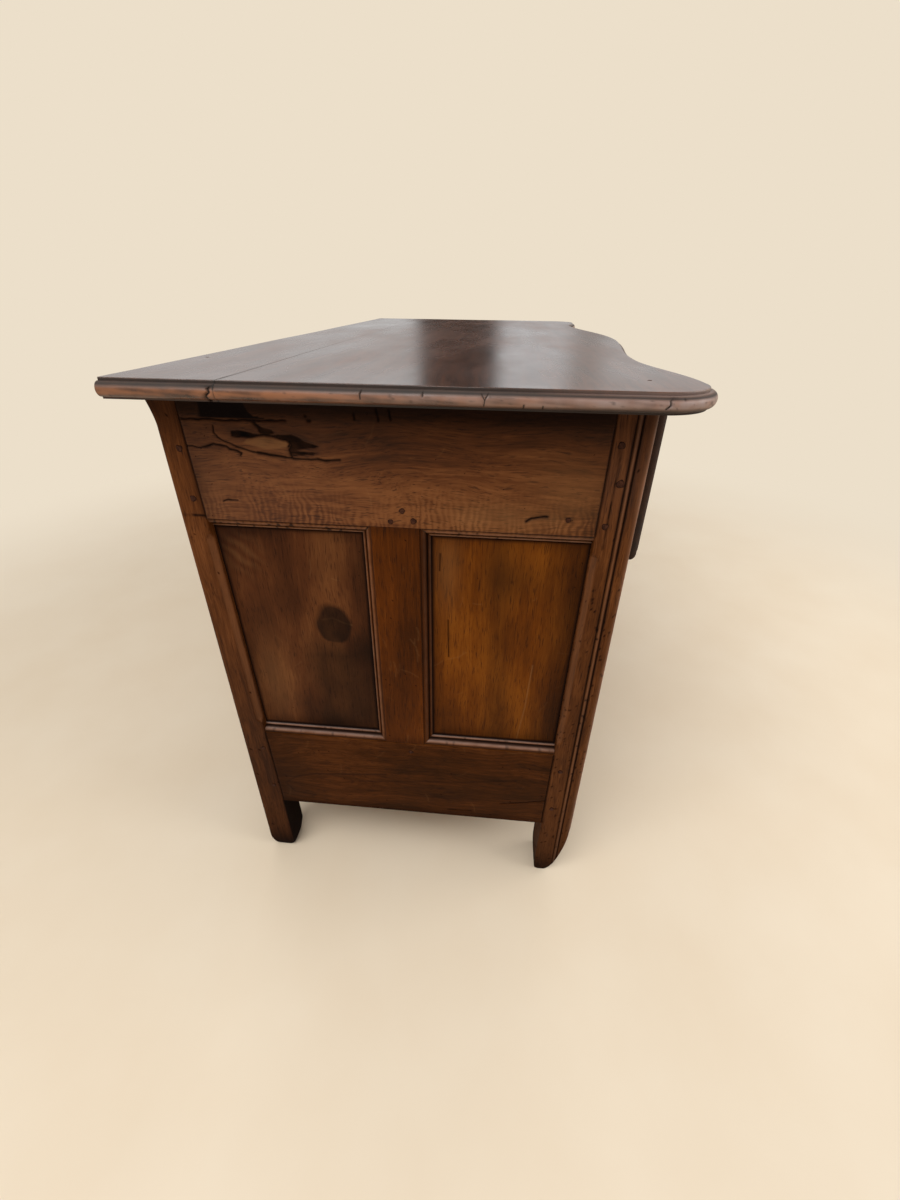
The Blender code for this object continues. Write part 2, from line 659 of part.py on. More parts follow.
def make_front_rails(parent, material):
    for name, (low, high) in FRONT_RAILS.items():
        rings = []
        for x in front_stations(POST_INNER_X - FIT_GAP):
            front = front_line(x)
            back = front + APRON_THICKNESS if name == "front_apron" else FRONT_Y + FRONT_RAIL_DEPTH
            bottom = apron_edge(x) if name == "front_apron" else low
            rings.append([(x, front, bottom), (x, front, high), (x, back, high), (x, back, bottom)])
        rail = add_part(name, loft(rings), material, parent, smooth=True)
        join(rail, together([box(*tenon) for side in SIDES.values() for tenon in rail_tenons(name, side)]))
    mortised = {"upper": "upper_divider", "middle": "lower_divider", "lower": "front_apron"}
    for opening, rail in mortised.items():
        sill = OPENINGS[opening][0]
        tenons = [runner_front_tenon(opening, sill, side) for side in SIDES.values()]
        cut(bpy.data.objects[rail], together([grown_box(*tenon) for tenon in tenons]))


# Back

BACK_RAIL_FACE = BACK_Y - BACK_RAIL_SET_IN
BACK_RAILS = {
    "back_top_rail": (UNDER_TOP - BACK_RAIL_HEIGHT, UNDER_TOP - FIT_GAP, -1),
    "back_bottom_rail": (FLOOR_TO_END_RAIL, FLOOR_TO_END_RAIL + BACK_RAIL_HEIGHT, 1),
}
BACK_GROOVE_FACE = BACK_RAIL_FACE - (BACK_RAIL_THICKNESS - BACK_BOARD_THICKNESS) / 2


def back_rail_tenons(side):
    boxes = []
    middle = BACK_RAIL_FACE - BACK_RAIL_THICKNESS / 2
    ys = (middle - RAIL_TENON_THICKNESS / 2, middle + RAIL_TENON_THICKNESS / 2)
    depths = (BACK_POST_THICKNESS - RAIL_TENON_LENGTH, BACK_POST_THICKNESS + RAIL_TENON_LENGTH)
    for low, high, _ in BACK_RAILS.values():
        boxes.append(sided_box(side, depths, ys, (low + TENON_SHOULDER, high - TENON_SHOULDER)))
    return boxes


def back_board_groove(side):
    """Cutter for the groove in a back post that holds the ends of the back boards."""
    low = BACK_RAILS["back_bottom_rail"][1] - BACK_GROOVE_DEPTH
    high = BACK_RAILS["back_top_rail"][0] + BACK_GROOVE_DEPTH
    depths = (BACK_POST_THICKNESS - BACK_GROOVE_DEPTH, BACK_POST_THICKNESS + CUT_CLEARANCE)
    ys = (BACK_GROOVE_FACE - BACK_BOARD_THICKNESS - FIT_GAP, BACK_GROOVE_FACE + FIT_GAP)
    return box(*sided_box(side, depths, ys, (low, high)))


def make_back(parent, material):
    half = OUTER_X - BACK_POST_THICKNESS - FIT_GAP
    inner_face = BACK_RAIL_FACE - BACK_RAIL_THICKNESS
    groove_faces = (BACK_GROOVE_FACE + FIT_GAP, BACK_GROOVE_FACE - BACK_BOARD_THICKNESS - FIT_GAP)
    for (name, (low, high, towards)), index in zip(BACK_RAILS.items(), range(2)):
        board_edge, plain_edge = (high, low) if towards > 0 else (low, high)
        groove = board_edge - towards * BACK_GROOVE_DEPTH
        outline = [(BACK_RAIL_FACE, plain_edge), (BACK_RAIL_FACE, board_edge), (groove_faces[0], board_edge)]
        outline += [(groove_faces[0], groove), (groove_faces[1], groove), (groove_faces[1], board_edge)]
        outline += [(inner_face, board_edge), (inner_face, plain_edge)]
        rail = add_part(name, prism(outline, "x", -half, half), material, parent)
        join(rail, together([box(*back_rail_tenons(side)[index]) for side in SIDES.values()]))

    low = BACK_RAILS["back_bottom_rail"][1] - BACK_GROOVE_DEPTH + PANEL_SLACK
    high = BACK_RAILS["back_top_rail"][0] + BACK_GROOVE_DEPTH - PANEL_SLACK
    middle = (low + high) / 2
    outer, inner = BACK_GROOVE_FACE, BACK_GROOVE_FACE - BACK_BOARD_THICKNESS
    lap_face = (outer + inner) / 2
    top_of_lap = middle + BACK_BOARD_LAP
    lower = [(outer, low), (outer, middle), (lap_face - FIT_GAP, middle)]
    lower += [(lap_face - FIT_GAP, top_of_lap), (inner, top_of_lap), (inner, low)]
    upper = [(inner, high), (inner, top_of_lap + FIT_GAP), (lap_face, top_of_lap + FIT_GAP)]
    upper += [(lap_face, middle + FIT_GAP), (outer, middle + FIT_GAP), (outer, high)]
    board_half = half + BACK_GROOVE_DEPTH - PANEL_SLACK
    for name, outline in (("back_board_lower", lower), ("back_board_upper", upper)):
        add_part(name, prism(outline, "x", -board_half, board_half), material, parent)


# Runners


def runner_front(opening, x):
    """Y of the back face of the rail that carries a runner's front end."""
    return front_line(x) + APRON_THICKNESS if opening == "lower" else FRONT_Y + FRONT_RAIL_DEPTH


def runner_start(opening):
    """Y where a runner begins, clear of the rail in front of it."""
    return runner_front(opening, POST_INNER_X - RUNNER_BEARING) + FIT_GAP


def runner_tenon_height(sill):
    middle = sill - RUNNER_THICKNESS / 2
    return middle - RUNNER_TENON_THICKNESS / 2, middle + RUNNER_TENON_THICKNESS / 2


def runner_front_tenon(opening, sill, side):
    start = runner_start(opening)
    middle = FRONT_POST_THICKNESS + RUNNER_BEARING / 2
    depths = (middle - RUNNER_TENON_WIDTH / 2, middle + RUNNER_TENON_WIDTH / 2)
    ys = (start - RUNNER_TENON_LENGTH, start + RUNNER_TENON_LENGTH)
    return sided_box(side, depths, ys, runner_tenon_height(sill))


def runner_back_tenon(sill, side):
    end = back_inner(sill)
    middle = (END_FRAME_THICKNESS + BACK_POST_THICKNESS) / 2
    depths = (middle - RUNNER_TENON_WIDTH / 2, middle + RUNNER_TENON_WIDTH / 2)
    ys = (end - RUNNER_TENON_LENGTH * 2, end + RUNNER_TENON_LENGTH)
    return sided_box(side, depths, ys, runner_tenon_height(sill))


def make_runners(parent, material):
    for opening, (sill, _) in OPENINGS.items():
        for name, side in SIDES.items():
            outer = END_FRAME_THICKNESS + FIT_GAP
            inner = FRONT_POST_THICKNESS + RUNNER_BEARING
            guide = sill + RUNNER_GUIDE_HEIGHT
            section = [(outer, sill - RUNNER_THICKNESS), (inner, sill - RUNNER_THICKNESS), (inner, sill)]
            section += [(FRONT_POST_THICKNESS, sill), (FRONT_POST_THICKNESS, guide), (outer, guide)]
            outline = [(side * (OUTER_X - depth), z) for depth, z in section]
            start = max(runner_start(opening), front_inner(sill - RUNNER_THICKNESS) + FIT_GAP)
            bm = prism(outline, "y", start, lambda x, z: back_inner(z) - FIT_GAP)
            runner = add_part(f"runner_{opening}_{name}", bm, material, parent)
            if start > runner_start(opening):
                bearing = (FRONT_POST_THICKNESS + FIT_GAP, inner)
                reach = (runner_start(opening), start + RUNNER_TENON_LENGTH)
                join(runner, box(*sided_box(side, bearing, reach, (sill - RUNNER_THICKNESS, sill))))
            tenons = [runner_front_tenon(opening, sill, side), runner_back_tenon(sill, side)]
            join(runner, together([box(*tenon) for tenon in tenons]))


# Drawers


def front_ring(half_length, low, high, out):
    """Points round a drawer front's outline, at a distance out from the rails' front face."""
    stations = front_stations(half_length)
    upper = [(x, front_line(x) - out, high) for x in stations]
    lower = [(x, front_line(x) - out, low) for x in stations[::-1]]
    return upper + lower


def drawer_front(low, high):
    """Core inside the opening, then a lip that overlaps the rails and posts, rounded to the raised field."""
    core = (CORE_HALF, low + FIT_GAP, high - DRAWER_HEAD_CLEARANCE)
    rings = [front_ring(*core, -DRAWER_CORE_DEPTH), front_ring(*core, FIT_GAP)]
    edge_out = FIT_GAP + DRAWER_LIP_EDGE
    round_out = DRAWER_PROUD - DRAWER_LIP_EDGE - DRAWER_LIP_FILLET
    steps = [(0.0, FIT_GAP)]
    for i in range(4):
        angle = math.pi / 2 * i / 3
        steps.append((DRAWER_LIP_ROUND * (1 - math.cos(angle)), edge_out + round_out * math.sin(angle)))
    steps.append((DRAWER_LIP_ROUND + DRAWER_LIP_FILLET, DRAWER_FACE_OUT))
    for inset, out in steps:
        grow = DRAWER_LIP - inset
        rings.append(front_ring(POST_INNER_X + grow, low - grow, high + grow, out))
    return loft(rings, strip_caps=True)


def side_outline(low, high):
    """(Y, height) of a drawer side with dovetails at its front end."""
    shoulder = front_line(CORE_HALF - DRAWER_SIDE_THICKNESS) + DRAWER_CORE_DEPTH + FIT_GAP
    tip = shoulder - DOVETAIL_LENGTH
    pitch = (high - low) / DOVETAIL_COUNT
    front = []
    for i in range(DOVETAIL_COUNT):
        middle = low + pitch * (i + 0.5)
        half = (pitch - DOVETAIL_PIN_WIDTH) / 2
        root = half - DOVETAIL_FLARE
        front += [(shoulder, middle - root), (tip, middle - half), (tip, middle + half), (shoulder, middle + root)]
    return [(DRAWER_BACK_Y, low), (shoulder, low), *front, (shoulder, high), (DRAWER_BACK_Y, high)]


def dovetail_sockets(side, low, high):
    """Cutter for a drawer front's half-blind sockets, open to the core's end and its back."""
    shoulder = front_line(CORE_HALF - DRAWER_SIDE_THICKNESS) + DRAWER_CORE_DEPTH + FIT_GAP
    tip = shoulder - DOVETAIL_LENGTH - FIT_GAP
    mouth_y = shoulder + CUT_CLEARANCE
    pitch = (high - low) / DOVETAIL_COUNT
    flare = DOVETAIL_FLARE / DOVETAIL_LENGTH
    xs = (side * (CORE_HALF - DRAWER_SIDE_THICKNESS - FIT_GAP), side * (CORE_HALF + DRAWER_SIDE_CLEARANCE))
    sockets = []
    for i in range(DOVETAIL_COUNT):
        middle = low + pitch * (i + 0.5)
        half = (pitch - DOVETAIL_PIN_WIDTH) / 2 + FIT_GAP
        mouth = half - DOVETAIL_FLARE - flare * CUT_CLEARANCE
        outline = [(tip, middle - half), (tip, middle + half)]
        outline += [(mouth_y, middle + mouth), (mouth_y, middle - mouth)]
        sockets.append(prism(outline, "x", *xs))
    return together(sockets)


def drawer_bottom(low, gap):
    """The bottom board, let into the front and both sides. A gap grows it into the cutter for their grooves."""
    half = CORE_HALF - DRAWER_SIDE_THICKNESS + DRAWER_BOTTOM_GROOVE - PANEL_SLACK + gap
    slack = gap + (PANEL_SLACK if gap else 0.0)
    base = low + DRAWER_BOTTOM_LIFT
    rings = []
    for x in front_stations(half + (PANEL_SLACK if gap else 0.0)):
        front = front_line(x) + DRAWER_CORE_DEPTH - DRAWER_BOTTOM_GROOVE + PANEL_SLACK - slack
        back = DRAWER_BACK_Y + gap
        levels = (base - gap, base + DRAWER_BOTTOM_THICKNESS + gap)
        rings.append([(x, front, levels[0]), (x, front, levels[1]), (x, back, levels[1]), (x, back, levels[0])])
    return loft(rings)


def drawer_back_box(low, high):
    half = CORE_HALF - DRAWER_SIDE_THICKNESS + DRAWER_BACK_DADO
    bottom = low + DRAWER_BOTTOM_LIFT + DRAWER_BOTTOM_THICKNESS + FIT_GAP
    ys = (DRAWER_BACK_Y - 2 * DRAWER_BACK_THICKNESS, DRAWER_BACK_Y - DRAWER_BACK_THICKNESS)
    return (-half, ys[0], bottom), (half, ys[1], high - DRAWER_BACK_DROP)


def make_drawer(name, low, high, woods):
    place = empty(f"{name}_drawer", (0.0, FRONT_Y, low))
    side_low, side_high = low + FIT_GAP, high - DRAWER_HEAD_CLEARANCE
    front = add_part(f"{name}_drawer_front", drawer_front(low, high), woods["front"], place, smooth=True)
    cut(front, drawer_bottom(low, FIT_GAP))
    for side in SIDES.values():
        cut(front, dovetail_sockets(side, side_low, side_high))
    cut(front, keyhole(high, FIT_GAP - KEYHOLE_DEPTH, DRAWER_FACE_OUT + KEYHOLE_DEPTH))

    back_low, back_high = drawer_back_box(low, high)
    dado = (back_low, Vector(back_high) + Vector((0, 0, DRAWER_BACK_DROP * 2)))
    for side_name, side in SIDES.items():
        xs = (side * CORE_HALF, side * (CORE_HALF - DRAWER_SIDE_THICKNESS))
        bm = prism(side_outline(side_low, side_high), "x", *xs)
        obj = add_part(f"{name}_drawer_side_{side_name}", bm, woods["lining"], place)
        cut(obj, drawer_bottom(low, FIT_GAP), grown_box(*dado))
    add_part(f"{name}_drawer_back", box(back_low, back_high), woods["lining"], place)
    add_part(f"{name}_drawer_bottom", drawer_bottom(low, 0.0), woods["lining"], place, smooth=True)
    return place


# Pulls and escutcheons


def plate_rings(outline, back_out, front_out):
    """Rings of a thin plate bent to the drawer's face, between two distances out from the rails' face."""
    return [[(x, front_line(x) - out, z) for x, z in outline] for out in (back_out, front_out)]


def pull_place(x, z):
    """Frame of a pull: on the drawer's face, with X along the face and -Y straight out of it."""
    reach = PULL_POST_SPACING / 2
    slope = (front_line(x + reach) - front_line(x - reach)) / (2 * reach)
    seat = (front_line(x + reach) + front_line(x - reach)) / 2 - DRAWER_FACE_OUT
    return Matrix.Translation((x, seat, z)) @ Matrix.Rotation(math.atan(slope), 4, "Z")


def pull_plate_outline(x, z):
    """A long plate with a lobed edge, as a wavy ellipse."""
    points = []
    for i in range(36):
        angle = 2 * math.pi * i / 36
        wave = 1 + 0.10 * math.cos(4 * angle) - 0.05 * math.cos(8 * angle)
        u = PULL_PLATE_LENGTH / 2 / 1.05 * math.cos(angle) * wave
        v = PULL_PLATE_HEIGHT / 2 / 1.05 * math.sin(angle) * wave
        points.append((x + u, z + v))
    return points


def turned(profile, centre_x, sides):
    """A solid turned about the local Y axis through centre_x. The profile is (radius, y) from foot to tip."""
    rings = []
    for radius, y in profile:
        circle = arc((centre_x, 0.0), radius, 0, 360 - 360 / sides, sides - 1)
        rings.append([(x, y, z) for x, z in circle])
    return loft(rings)


def bail_axis_y():
    return -(FIT_GAP + PULL_PLATE_THICKNESS + BAIL_STAND_OFF)


def pull_posts():
    """The two eyed posts of a pull, in its own frame."""
    plate_face = -FIT_GAP - PULL_PLATE_THICKNESS
    seat = (PULL_POST_SEAT_RADIUS, plate_face - PULL_POST_SEAT_HEIGHT / 2)
    profile = [(PULL_POST_SEAT_RADIUS, plate_face + PULL_PLATE_THICKNESS / 2), seat]
    profile += [(PULL_POST_NECK_RADIUS, plate_face - PULL_POST_SEAT_HEIGHT)]
    profile += [(PULL_POST_RADIUS, bail_axis_y()), (PULL_POST_TIP_RADIUS, bail_axis_y() - PULL_POST_CAP)]
    return [turned(profile, centre, 10) for centre in (-PULL_POST_SPACING / 2, PULL_POST_SPACING / 2)]


def bail_path():
    """(x, z, radius) along the bail in its hanging plane, from one pin round the grip to the other."""
    post_outside = PULL_POST_SPACING / 2 + PULL_POST_RADIUS
    pin_tip = PULL_POST_SPACING / 2 - PULL_POST_RADIUS
    elbow_x = post_outside + BAIL_PIN_RADIUS
    arm_x = elbow_x + BAIL_ELBOW
    half = [(pin_tip, 0.0, BAIL_PIN_RADIUS), (elbow_x, 0.0, BAIL_PIN_RADIUS)]
    for i in range(1, 4):
        angle = math.pi / 2 * i / 3
        x = elbow_x + BAIL_ELBOW * math.sin(angle)
        half.append((x, -BAIL_ELBOW * (1 - math.cos(angle)), BAIL_PIN_RADIUS))
    sweep = BAIL_DROP - BAIL_ELBOW
    for i in range(1, 8):
        angle = math.pi / 2 * i / 7
        radius = BAIL_PIN_RADIUS + (BAIL_GRIP_RADIUS - BAIL_PIN_RADIUS) * math.sin(angle)
        half.append((arm_x * math.cos(angle), -BAIL_ELBOW - sweep * math.sin(angle), radius))
    other = [(-x, z, radius) for x, z, radius in half[-2::-1]]
    return half + other


def bail():
    """A round bar along the bail's path, square to it at each point."""
    path = bail_path()
    sides = 6
    rings = []
    for i, (x, z, radius) in enumerate(path):
        before, after = path[max(i - 1, 0)], path[min(i + 1, len(path) - 1)]
        along = Vector((after[0] - before[0], after[1] - before[1])).normalized()
        ring = []
        for k in range(sides):
            angle = 2 * math.pi * (k + 0.5) / sides
            across = radius * math.cos(angle)
            ring.append((x - along.y * across, radius * math.sin(angle), z + along.x * across))
        rings.append(ring)
    return loft(rings)


def bail_hole():
    """Cutter for the eyes of both posts, along the bail's axis."""
    reach = PULL_POST_SPACING / 2 + 2 * PULL_POST_RADIUS
    circle = arc((bail_axis_y(), 0.0), BAIL_HOLE_RADIUS, 22.5, 337.5, 7)
    return prism(circle, "x", -reach, reach)


def moved(bm, matrix):
    bmesh.ops.transform(bm, matrix=matrix, verts=bm.verts)
    return bm


def make_pull(drawer, name, side, height, place, material):
    x = side * (POST_INNER_X - PULL_FROM_POST)
    frame = pull_place(x, height)
    back_out = DRAWER_FACE_OUT + FIT_GAP
    rings = plate_rings(pull_plate_outline(x, height), back_out, back_out + PULL_PLATE_THICKNESS)
    plate = add_part(f"{drawer}_pull_plate_{name}", loft(rings), material, place)
    join(plate, moved(together(pull_posts()), frame))
    cut(plate, moved(bail_hole(), frame))
    axis = frame @ Vector((0.0, bail_axis_y(), 0.0))
    turn = Matrix.Translation(axis) @ frame.to_3x3().to_4x4()
    add_part(f"{drawer}_bail_{name}", moved(bail(), turn), material, place, origin=axis, smooth=True)


def keyhole(opening_head, inner_out, outer_out):
    """Cutter for a keyhole, a round hole over a slot, between two distances out from the rails' face."""
    z = opening_head - ESCUTCHEON_FROM_TOP
    half = KEYHOLE_SLOT_WIDTH / 2
    spread = math.degrees(math.asin(half / KEYHOLE_RADIUS))
    outline = arc((0.0, z), KEYHOLE_RADIUS, -90 + spread, 270 - spread, 10)
    outline += [(-half, z - KEYHOLE_SLOT_LENGTH), (half, z - KEYHOLE_SLOT_LENGTH)]
    return prism(outline, "y", front_line(0.0) - outer_out, front_line(0.0) - inner_out)


def make_escutcheon(drawer, opening_head, place, material):
    z = opening_head - ESCUTCHEON_FROM_TOP - KEYHOLE_SLOT_LENGTH / 3
    outline = []
    for i in range(24):
        angle = 2 * math.pi * i / 24
        wave = 1 + 0.08 * math.cos(6 * angle)
        u = ESCUTCHEON_WIDTH / 2 / 1.08 * math.cos(angle) * wave
        v = ESCUTCHEON_HEIGHT / 2 / 1.08 * math.sin(angle) * wave
        outline.append((u, z + v))
    back_out = DRAWER_FACE_OUT + FIT_GAP
    rings = plate_rings(outline, back_out, back_out + ESCUTCHEON_THICKNESS)
    plate = add_part(f"{drawer}_escutcheon", loft(rings), material, place)
    cut(plate, keyhole(opening_head, DRAWER_FACE_OUT - KEYHOLE_DEPTH, DRAWER_FACE_OUT + KEYHOLE_DEPTH))


def make_drawers(woods, brass):
    for name, (low, high) in OPENINGS.items():
        place = make_drawer(name, low, high, woods)
        height = (low + high) / 2 + BAIL_DROP / 4
        for side_name, side in SIDES.items():
            make_pull(name, side_name, side, height, place, brass)
        make_escutcheon(name, high, place, brass)
        if name == "upper":
            place.location.y -= UPPER_DRAWER_AJAR


def main():
    for obj in list(bpy.data.objects):
        bpy.data.objects.remove(obj)
    top_walnut = finish("polished_walnut_top", (0.050, 0.021, 0.012), 0.28)
    frame_walnut = finish("waxed_walnut_frame", (0.105, 0.042, 0.018), 0.38)
    panel_walnut = finish("waxed_walnut_panel", (0.085, 0.030, 0.012), 0.40)
    front_walnut = finish("waxed_walnut_drawer_front", (0.090, 0.036, 0.016), 0.36)
    lining = finish("plain_poplar_lining", (0.330, 0.205, 0.105), 0.70)
    back_wood = finish("rough_poplar_back", (0.210, 0.125, 0.062), 0.80)
    brass = finish("old_brass", (0.480, 0.310, 0.110), 0.38, 1.0)

    carcase = empty("carcase", (0.0, 0.0, 0.0))
    make_top(carcase, top_walnut)
    make_posts(carcase, frame_walnut)
    make_ends(carcase, frame_walnut, panel_walnut)
    make_front_rails(carcase, front_walnut)
    make_back(carcase, back_wood)
    make_runners(carcase, lining)
    make_drawers({"front": front_walnut, "lining": lining}, brass)


main()
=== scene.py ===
"""Looks of the walnut commode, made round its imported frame.

Metres, +Z up, the front to -Y, the photographed end at -X. The sizes are those of the solids.
Places on an end are given as (distance from the back corner, height).
"""

import math

import bmesh
import bpy
import numpy as np
from mathutils import Matrix


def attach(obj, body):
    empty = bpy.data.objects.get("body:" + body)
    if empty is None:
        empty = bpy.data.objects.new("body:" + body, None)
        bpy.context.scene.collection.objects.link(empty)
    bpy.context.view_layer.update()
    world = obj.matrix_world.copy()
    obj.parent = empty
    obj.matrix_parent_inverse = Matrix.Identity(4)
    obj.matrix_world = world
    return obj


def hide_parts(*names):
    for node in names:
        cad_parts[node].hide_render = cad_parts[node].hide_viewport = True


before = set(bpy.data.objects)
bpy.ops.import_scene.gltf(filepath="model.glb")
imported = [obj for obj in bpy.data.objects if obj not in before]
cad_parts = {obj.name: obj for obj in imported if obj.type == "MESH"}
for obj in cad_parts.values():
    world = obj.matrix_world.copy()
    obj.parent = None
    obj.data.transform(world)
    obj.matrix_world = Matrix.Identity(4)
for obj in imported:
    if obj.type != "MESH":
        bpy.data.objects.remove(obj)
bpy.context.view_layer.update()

# Carcase and top
HEIGHT = 0.822
TOP_THICKNESS = 0.020
UNDER_TOP = HEIGHT - TOP_THICKNESS
OUTER_X = 0.615
BACK_Y = 0.2935
FRONT_Y = BACK_Y - 0.54
FIT_GAP = 0.0003
TOP_END_X = OUTER_X + 0.055
TOP_FRONT_OVERHANG = 0.050
TOP_BACK_Y = BACK_Y + 0.015
TOP_JOINT_Y = TOP_BACK_Y - 0.120
TOP_CORNER_RADIUS = 0.065
TOP_STEP_HEIGHT = 0.003
TOP_STEP_SET_BACK = 0.0085
TOP_NOSE_RADIUS = 0.0075
TOP_WAVE_FROM_END = 0.020
TOP_MARGIN = 0.014
TOP_SAG = 0.0005

# Serpentine of the front
FRONT_POST_THICKNESS = 0.058
POST_INNER_X = OUTER_X - FRONT_POST_THICKNESS
DIP_DEPTH = 0.027
DIP_X = POST_INNER_X - 0.152
SWELL = 0.012

# Posts
FRONT_HEAD_WIDTH = 0.042
FRONT_FOOT_WIDTH = 0.052
BACK_POST_THICKNESS = 0.048
BACK_HEAD_WIDTH = 0.028
BACK_FOOT_WIDTH = 0.045
BACK_FLARE = 0.009
BACK_FLARE_HEIGHT = 0.036
POST_ARRIS = 0.005
BEAD_FROM_CORNER = 0.015
BEAD_WIDTH = 0.0065
QUIRK_WIDTH = 0.0018
QUIRK_DEPTH = 0.0016
CHAMFER = 0.008
CHAMFER_FROM_RAIL = 0.018
CHAMFER_STOP = 0.010
TOE_HEIGHT = 0.16
TOE_SET_BACK = 0.028
TOE_ROUNDNESS = 2.4
FOOT_EASE = 0.026
FRONT_FOOT_DRAW = 0.0025
BACK_FOOT_DRAW = 0.006

# End frames
FRAME_THICKNESS = 0.024
SIGHT_TOP = UNDER_TOP - 0.144
RAIL_BOTTOM = 0.132
SIGHT_BOTTOM = RAIL_BOTTOM + 0.166
MUNTIN_HALF = 0.029
MUNTIN_Y = FRONT_Y + (0.54 + FRONT_HEAD_WIDTH - BACK_HEAD_WIDTH) / 2
MOULDING_WIDTH = 0.013
MOULDING_DEPTH = 0.012
PANEL_DEPTH = MOULDING_DEPTH + FIT_GAP
PANEL_THICKNESS = 0.008
PANEL_INTO = 0.008
RAIL_EASE = 0.0025

# Front rails and drawers
RAIL_DEPTH = 0.076
APRON_THICKNESS = 0.024
APRON_HEIGHT = 0.082
APRON_ARCH = 0.030
OPENINGS = {"upper": (0.614, 0.784), "middle": (0.408, 0.594), "lower": (0.204, 0.388)}
UPPER_AJAR = 0.010
LIP = 0.007
LIP_EDGE = 0.004
LIP_ROUND = 0.009
LIP_FILLET = 0.0015
PROUD = 0.015
FACE_OUT = FIT_GAP + PROUD
CORE_DEPTH = 0.017
CORE_HALF = POST_INNER_X - 0.0015
CORE_SHY = 0.0004
HEAD_CLEARANCE = 0.003

# Pulls and escutcheons
PULL_X = POST_INNER_X - 0.225
PLATE_LENGTH = 0.122
PLATE_HEIGHT = 0.052
PLATE_THICKNESS = 0.002
POST_SPACING = 0.080
EYE_RADIUS = 0.005
BAIL_STAND_OFF = 0.012
PIN_RADIUS = 0.0022
GRIP_RADIUS = 0.0036
BAIL_DROP = 0.040
BAIL_ELBOW = 0.007
ESCUTCHEON_WIDTH = 0.026
ESCUTCHEON_HEIGHT = 0.046
KEYHOLE_FROM_TOP = 0.060
KEYHOLE_RADIUS = 0.0032
KEYHOLE_SLOT_HALF = 0.0015
KEYHOLE_SLOT_LENGTH = 0.011
KEYHOLE_DEPTH = 0.014

# Fineness of the surfaces
VERY_FINE = 0.0011
FINE = 0.0018
MIDDLING = 0.003
COARSE = 0.008
SIDES = {"left": -1, "right": 1}


# Lines of the commode


def serpentine(x, level_from):
    """Swell of the front at x: half cosine waves to the dip and on to the middle, level beyond."""
    reach = np.abs(x)
    fall = -DIP_DEPTH * (1 - np.cos(np.pi * (level_from - reach) / (level_from - DIP_X))) / 2
    rise = (DIP_DEPTH + SWELL) * (1 + np.cos(np.pi * reach / DIP_X)) / 2 - DIP_DEPTH
    return np.where(reach >= level_from, 0.0, np.where(reach > DIP_X, fall, rise))


def front_line(x):
    """Y of the rails' front face at x."""
    return FRONT_Y - serpentine(x, POST_INNER_X)


def top_line(x):
    """Y of the top's front edge at x."""
    return FRONT_Y - TOP_FRONT_OVERHANG - serpentine(x, OUTER_X - TOP_WAVE_FROM_END)


def front_inner(z):
    """Y of the front posts' inner edge, a straight taper."""
    return FRONT_Y + FRONT_FOOT_WIDTH + (FRONT_HEAD_WIDTH - FRONT_FOOT_WIDTH) * z / UNDER_TOP


def back_inner(z):
    """Y of the back posts' inner edge, a straight taper."""
    return BACK_Y - BACK_FOOT_WIDTH - (BACK_HEAD_WIDTH - BACK_FOOT_WIDTH) * z / UNDER_TOP


def back_outer(z):
    """Y of the back posts' outer edge: straight, with a flare under the top that grows as the power of
    1.5."""
    rise = np.clip(z - UNDER_TOP + BACK_FLARE_HEIGHT, 0, None) / BACK_FLARE_HEIGHT
    return BACK_Y + BACK_FLARE * rise**1.5


# Working surfaces


def arc(centre, radius, start, end, steps):
    """Points on an arc in a plane, with angles in degrees."""
    angle = np.radians(np.linspace(start, end, steps + 1))
    return np.stack([centre[0] + radius * np.cos(angle), centre[1] + radius * np.sin(angle)], axis=-1)


def eased(radius):
    """(depth, height) of a quarter round at a lower edge, from the edge's underside up to its face."""
    turn = np.linspace(0, math.pi / 2, 5)
    return np.stack([radius * (1 - np.sin(turn)), radius * (1 - np.cos(turn))], axis=-1)


def full_turn(steps):
    """Even angles round a circle."""
    return np.linspace(0, 2 * math.pi, steps, endpoint=False)


def resample(points, spacing):
    """A broken line with points no further apart than the spacing: even steps along it, and its corners."""
    points = np.asarray(points, float)
    reach = np.concatenate([[0.0], np.cumsum(np.linalg.norm(np.diff(points, axis=0), axis=1))])
    steps = np.arange(0, reach[-1], spacing)
    steps = steps[np.abs(steps[:, None] - reach).min(axis=1) > spacing * 0.3]
    where = np.sort(np.concatenate([reach, steps]))
    return np.stack([np.interp(where, reach, column) for column in points.T], axis=-1)


def shares(length, spacing):
    """Even shares from 0 to 1 over a length, with a few close ones at each end for a worn edge."""
    even = np.linspace(0, 1, max(3, int(length / spacing)))
    close = np.array([0.0005, 0.0012, 0.0025]) / length
    return np.unique(np.concatenate([even, close, 1 - close]))


def unevenness(points, size, seed):
    """Smooth hills and hollows of about the given size, within about -1 to 1: sine waves that run in seeded
    directions."""
    rng = np.random.default_rng(seed)
    waves = rng.normal(size=(3, 12)) * (2.0 / size)
    phases = rng.uniform(0, 2 * math.pi, 12)
    return np.sin(points @ waves + phases).sum(axis=-1) / 6


def ramp(values):
    """The values held between 0 and 1."""
    return np.clip(values, 0, 1)


def most(*amounts):
    """The greatest of several amounts at each point."""
    return np.maximum.reduce(np.broadcast_arrays(*amounts))


def fade(distance, reach):
    """1 at no distance, falling as a bell curve over the reach."""
    return np.exp(-((np.asarray(distance) / reach) ** 2))


def from_line(across, height, path):
    """Distance of each point to a broken line: the least of its distances to the line's segments."""
    points = np.stack([across, height], axis=-1)[..., None, :]
    start = np.asarray(path, float)[:-1]
    along = np.asarray(path, float)[1:] - start
    share = ((points - start) * along).sum(axis=-1) / (along**2).sum(axis=-1)
    nearest = start + ramp(share)[..., None] * along
    return np.linalg.norm(points - nearest, axis=-1).min(axis=-1)


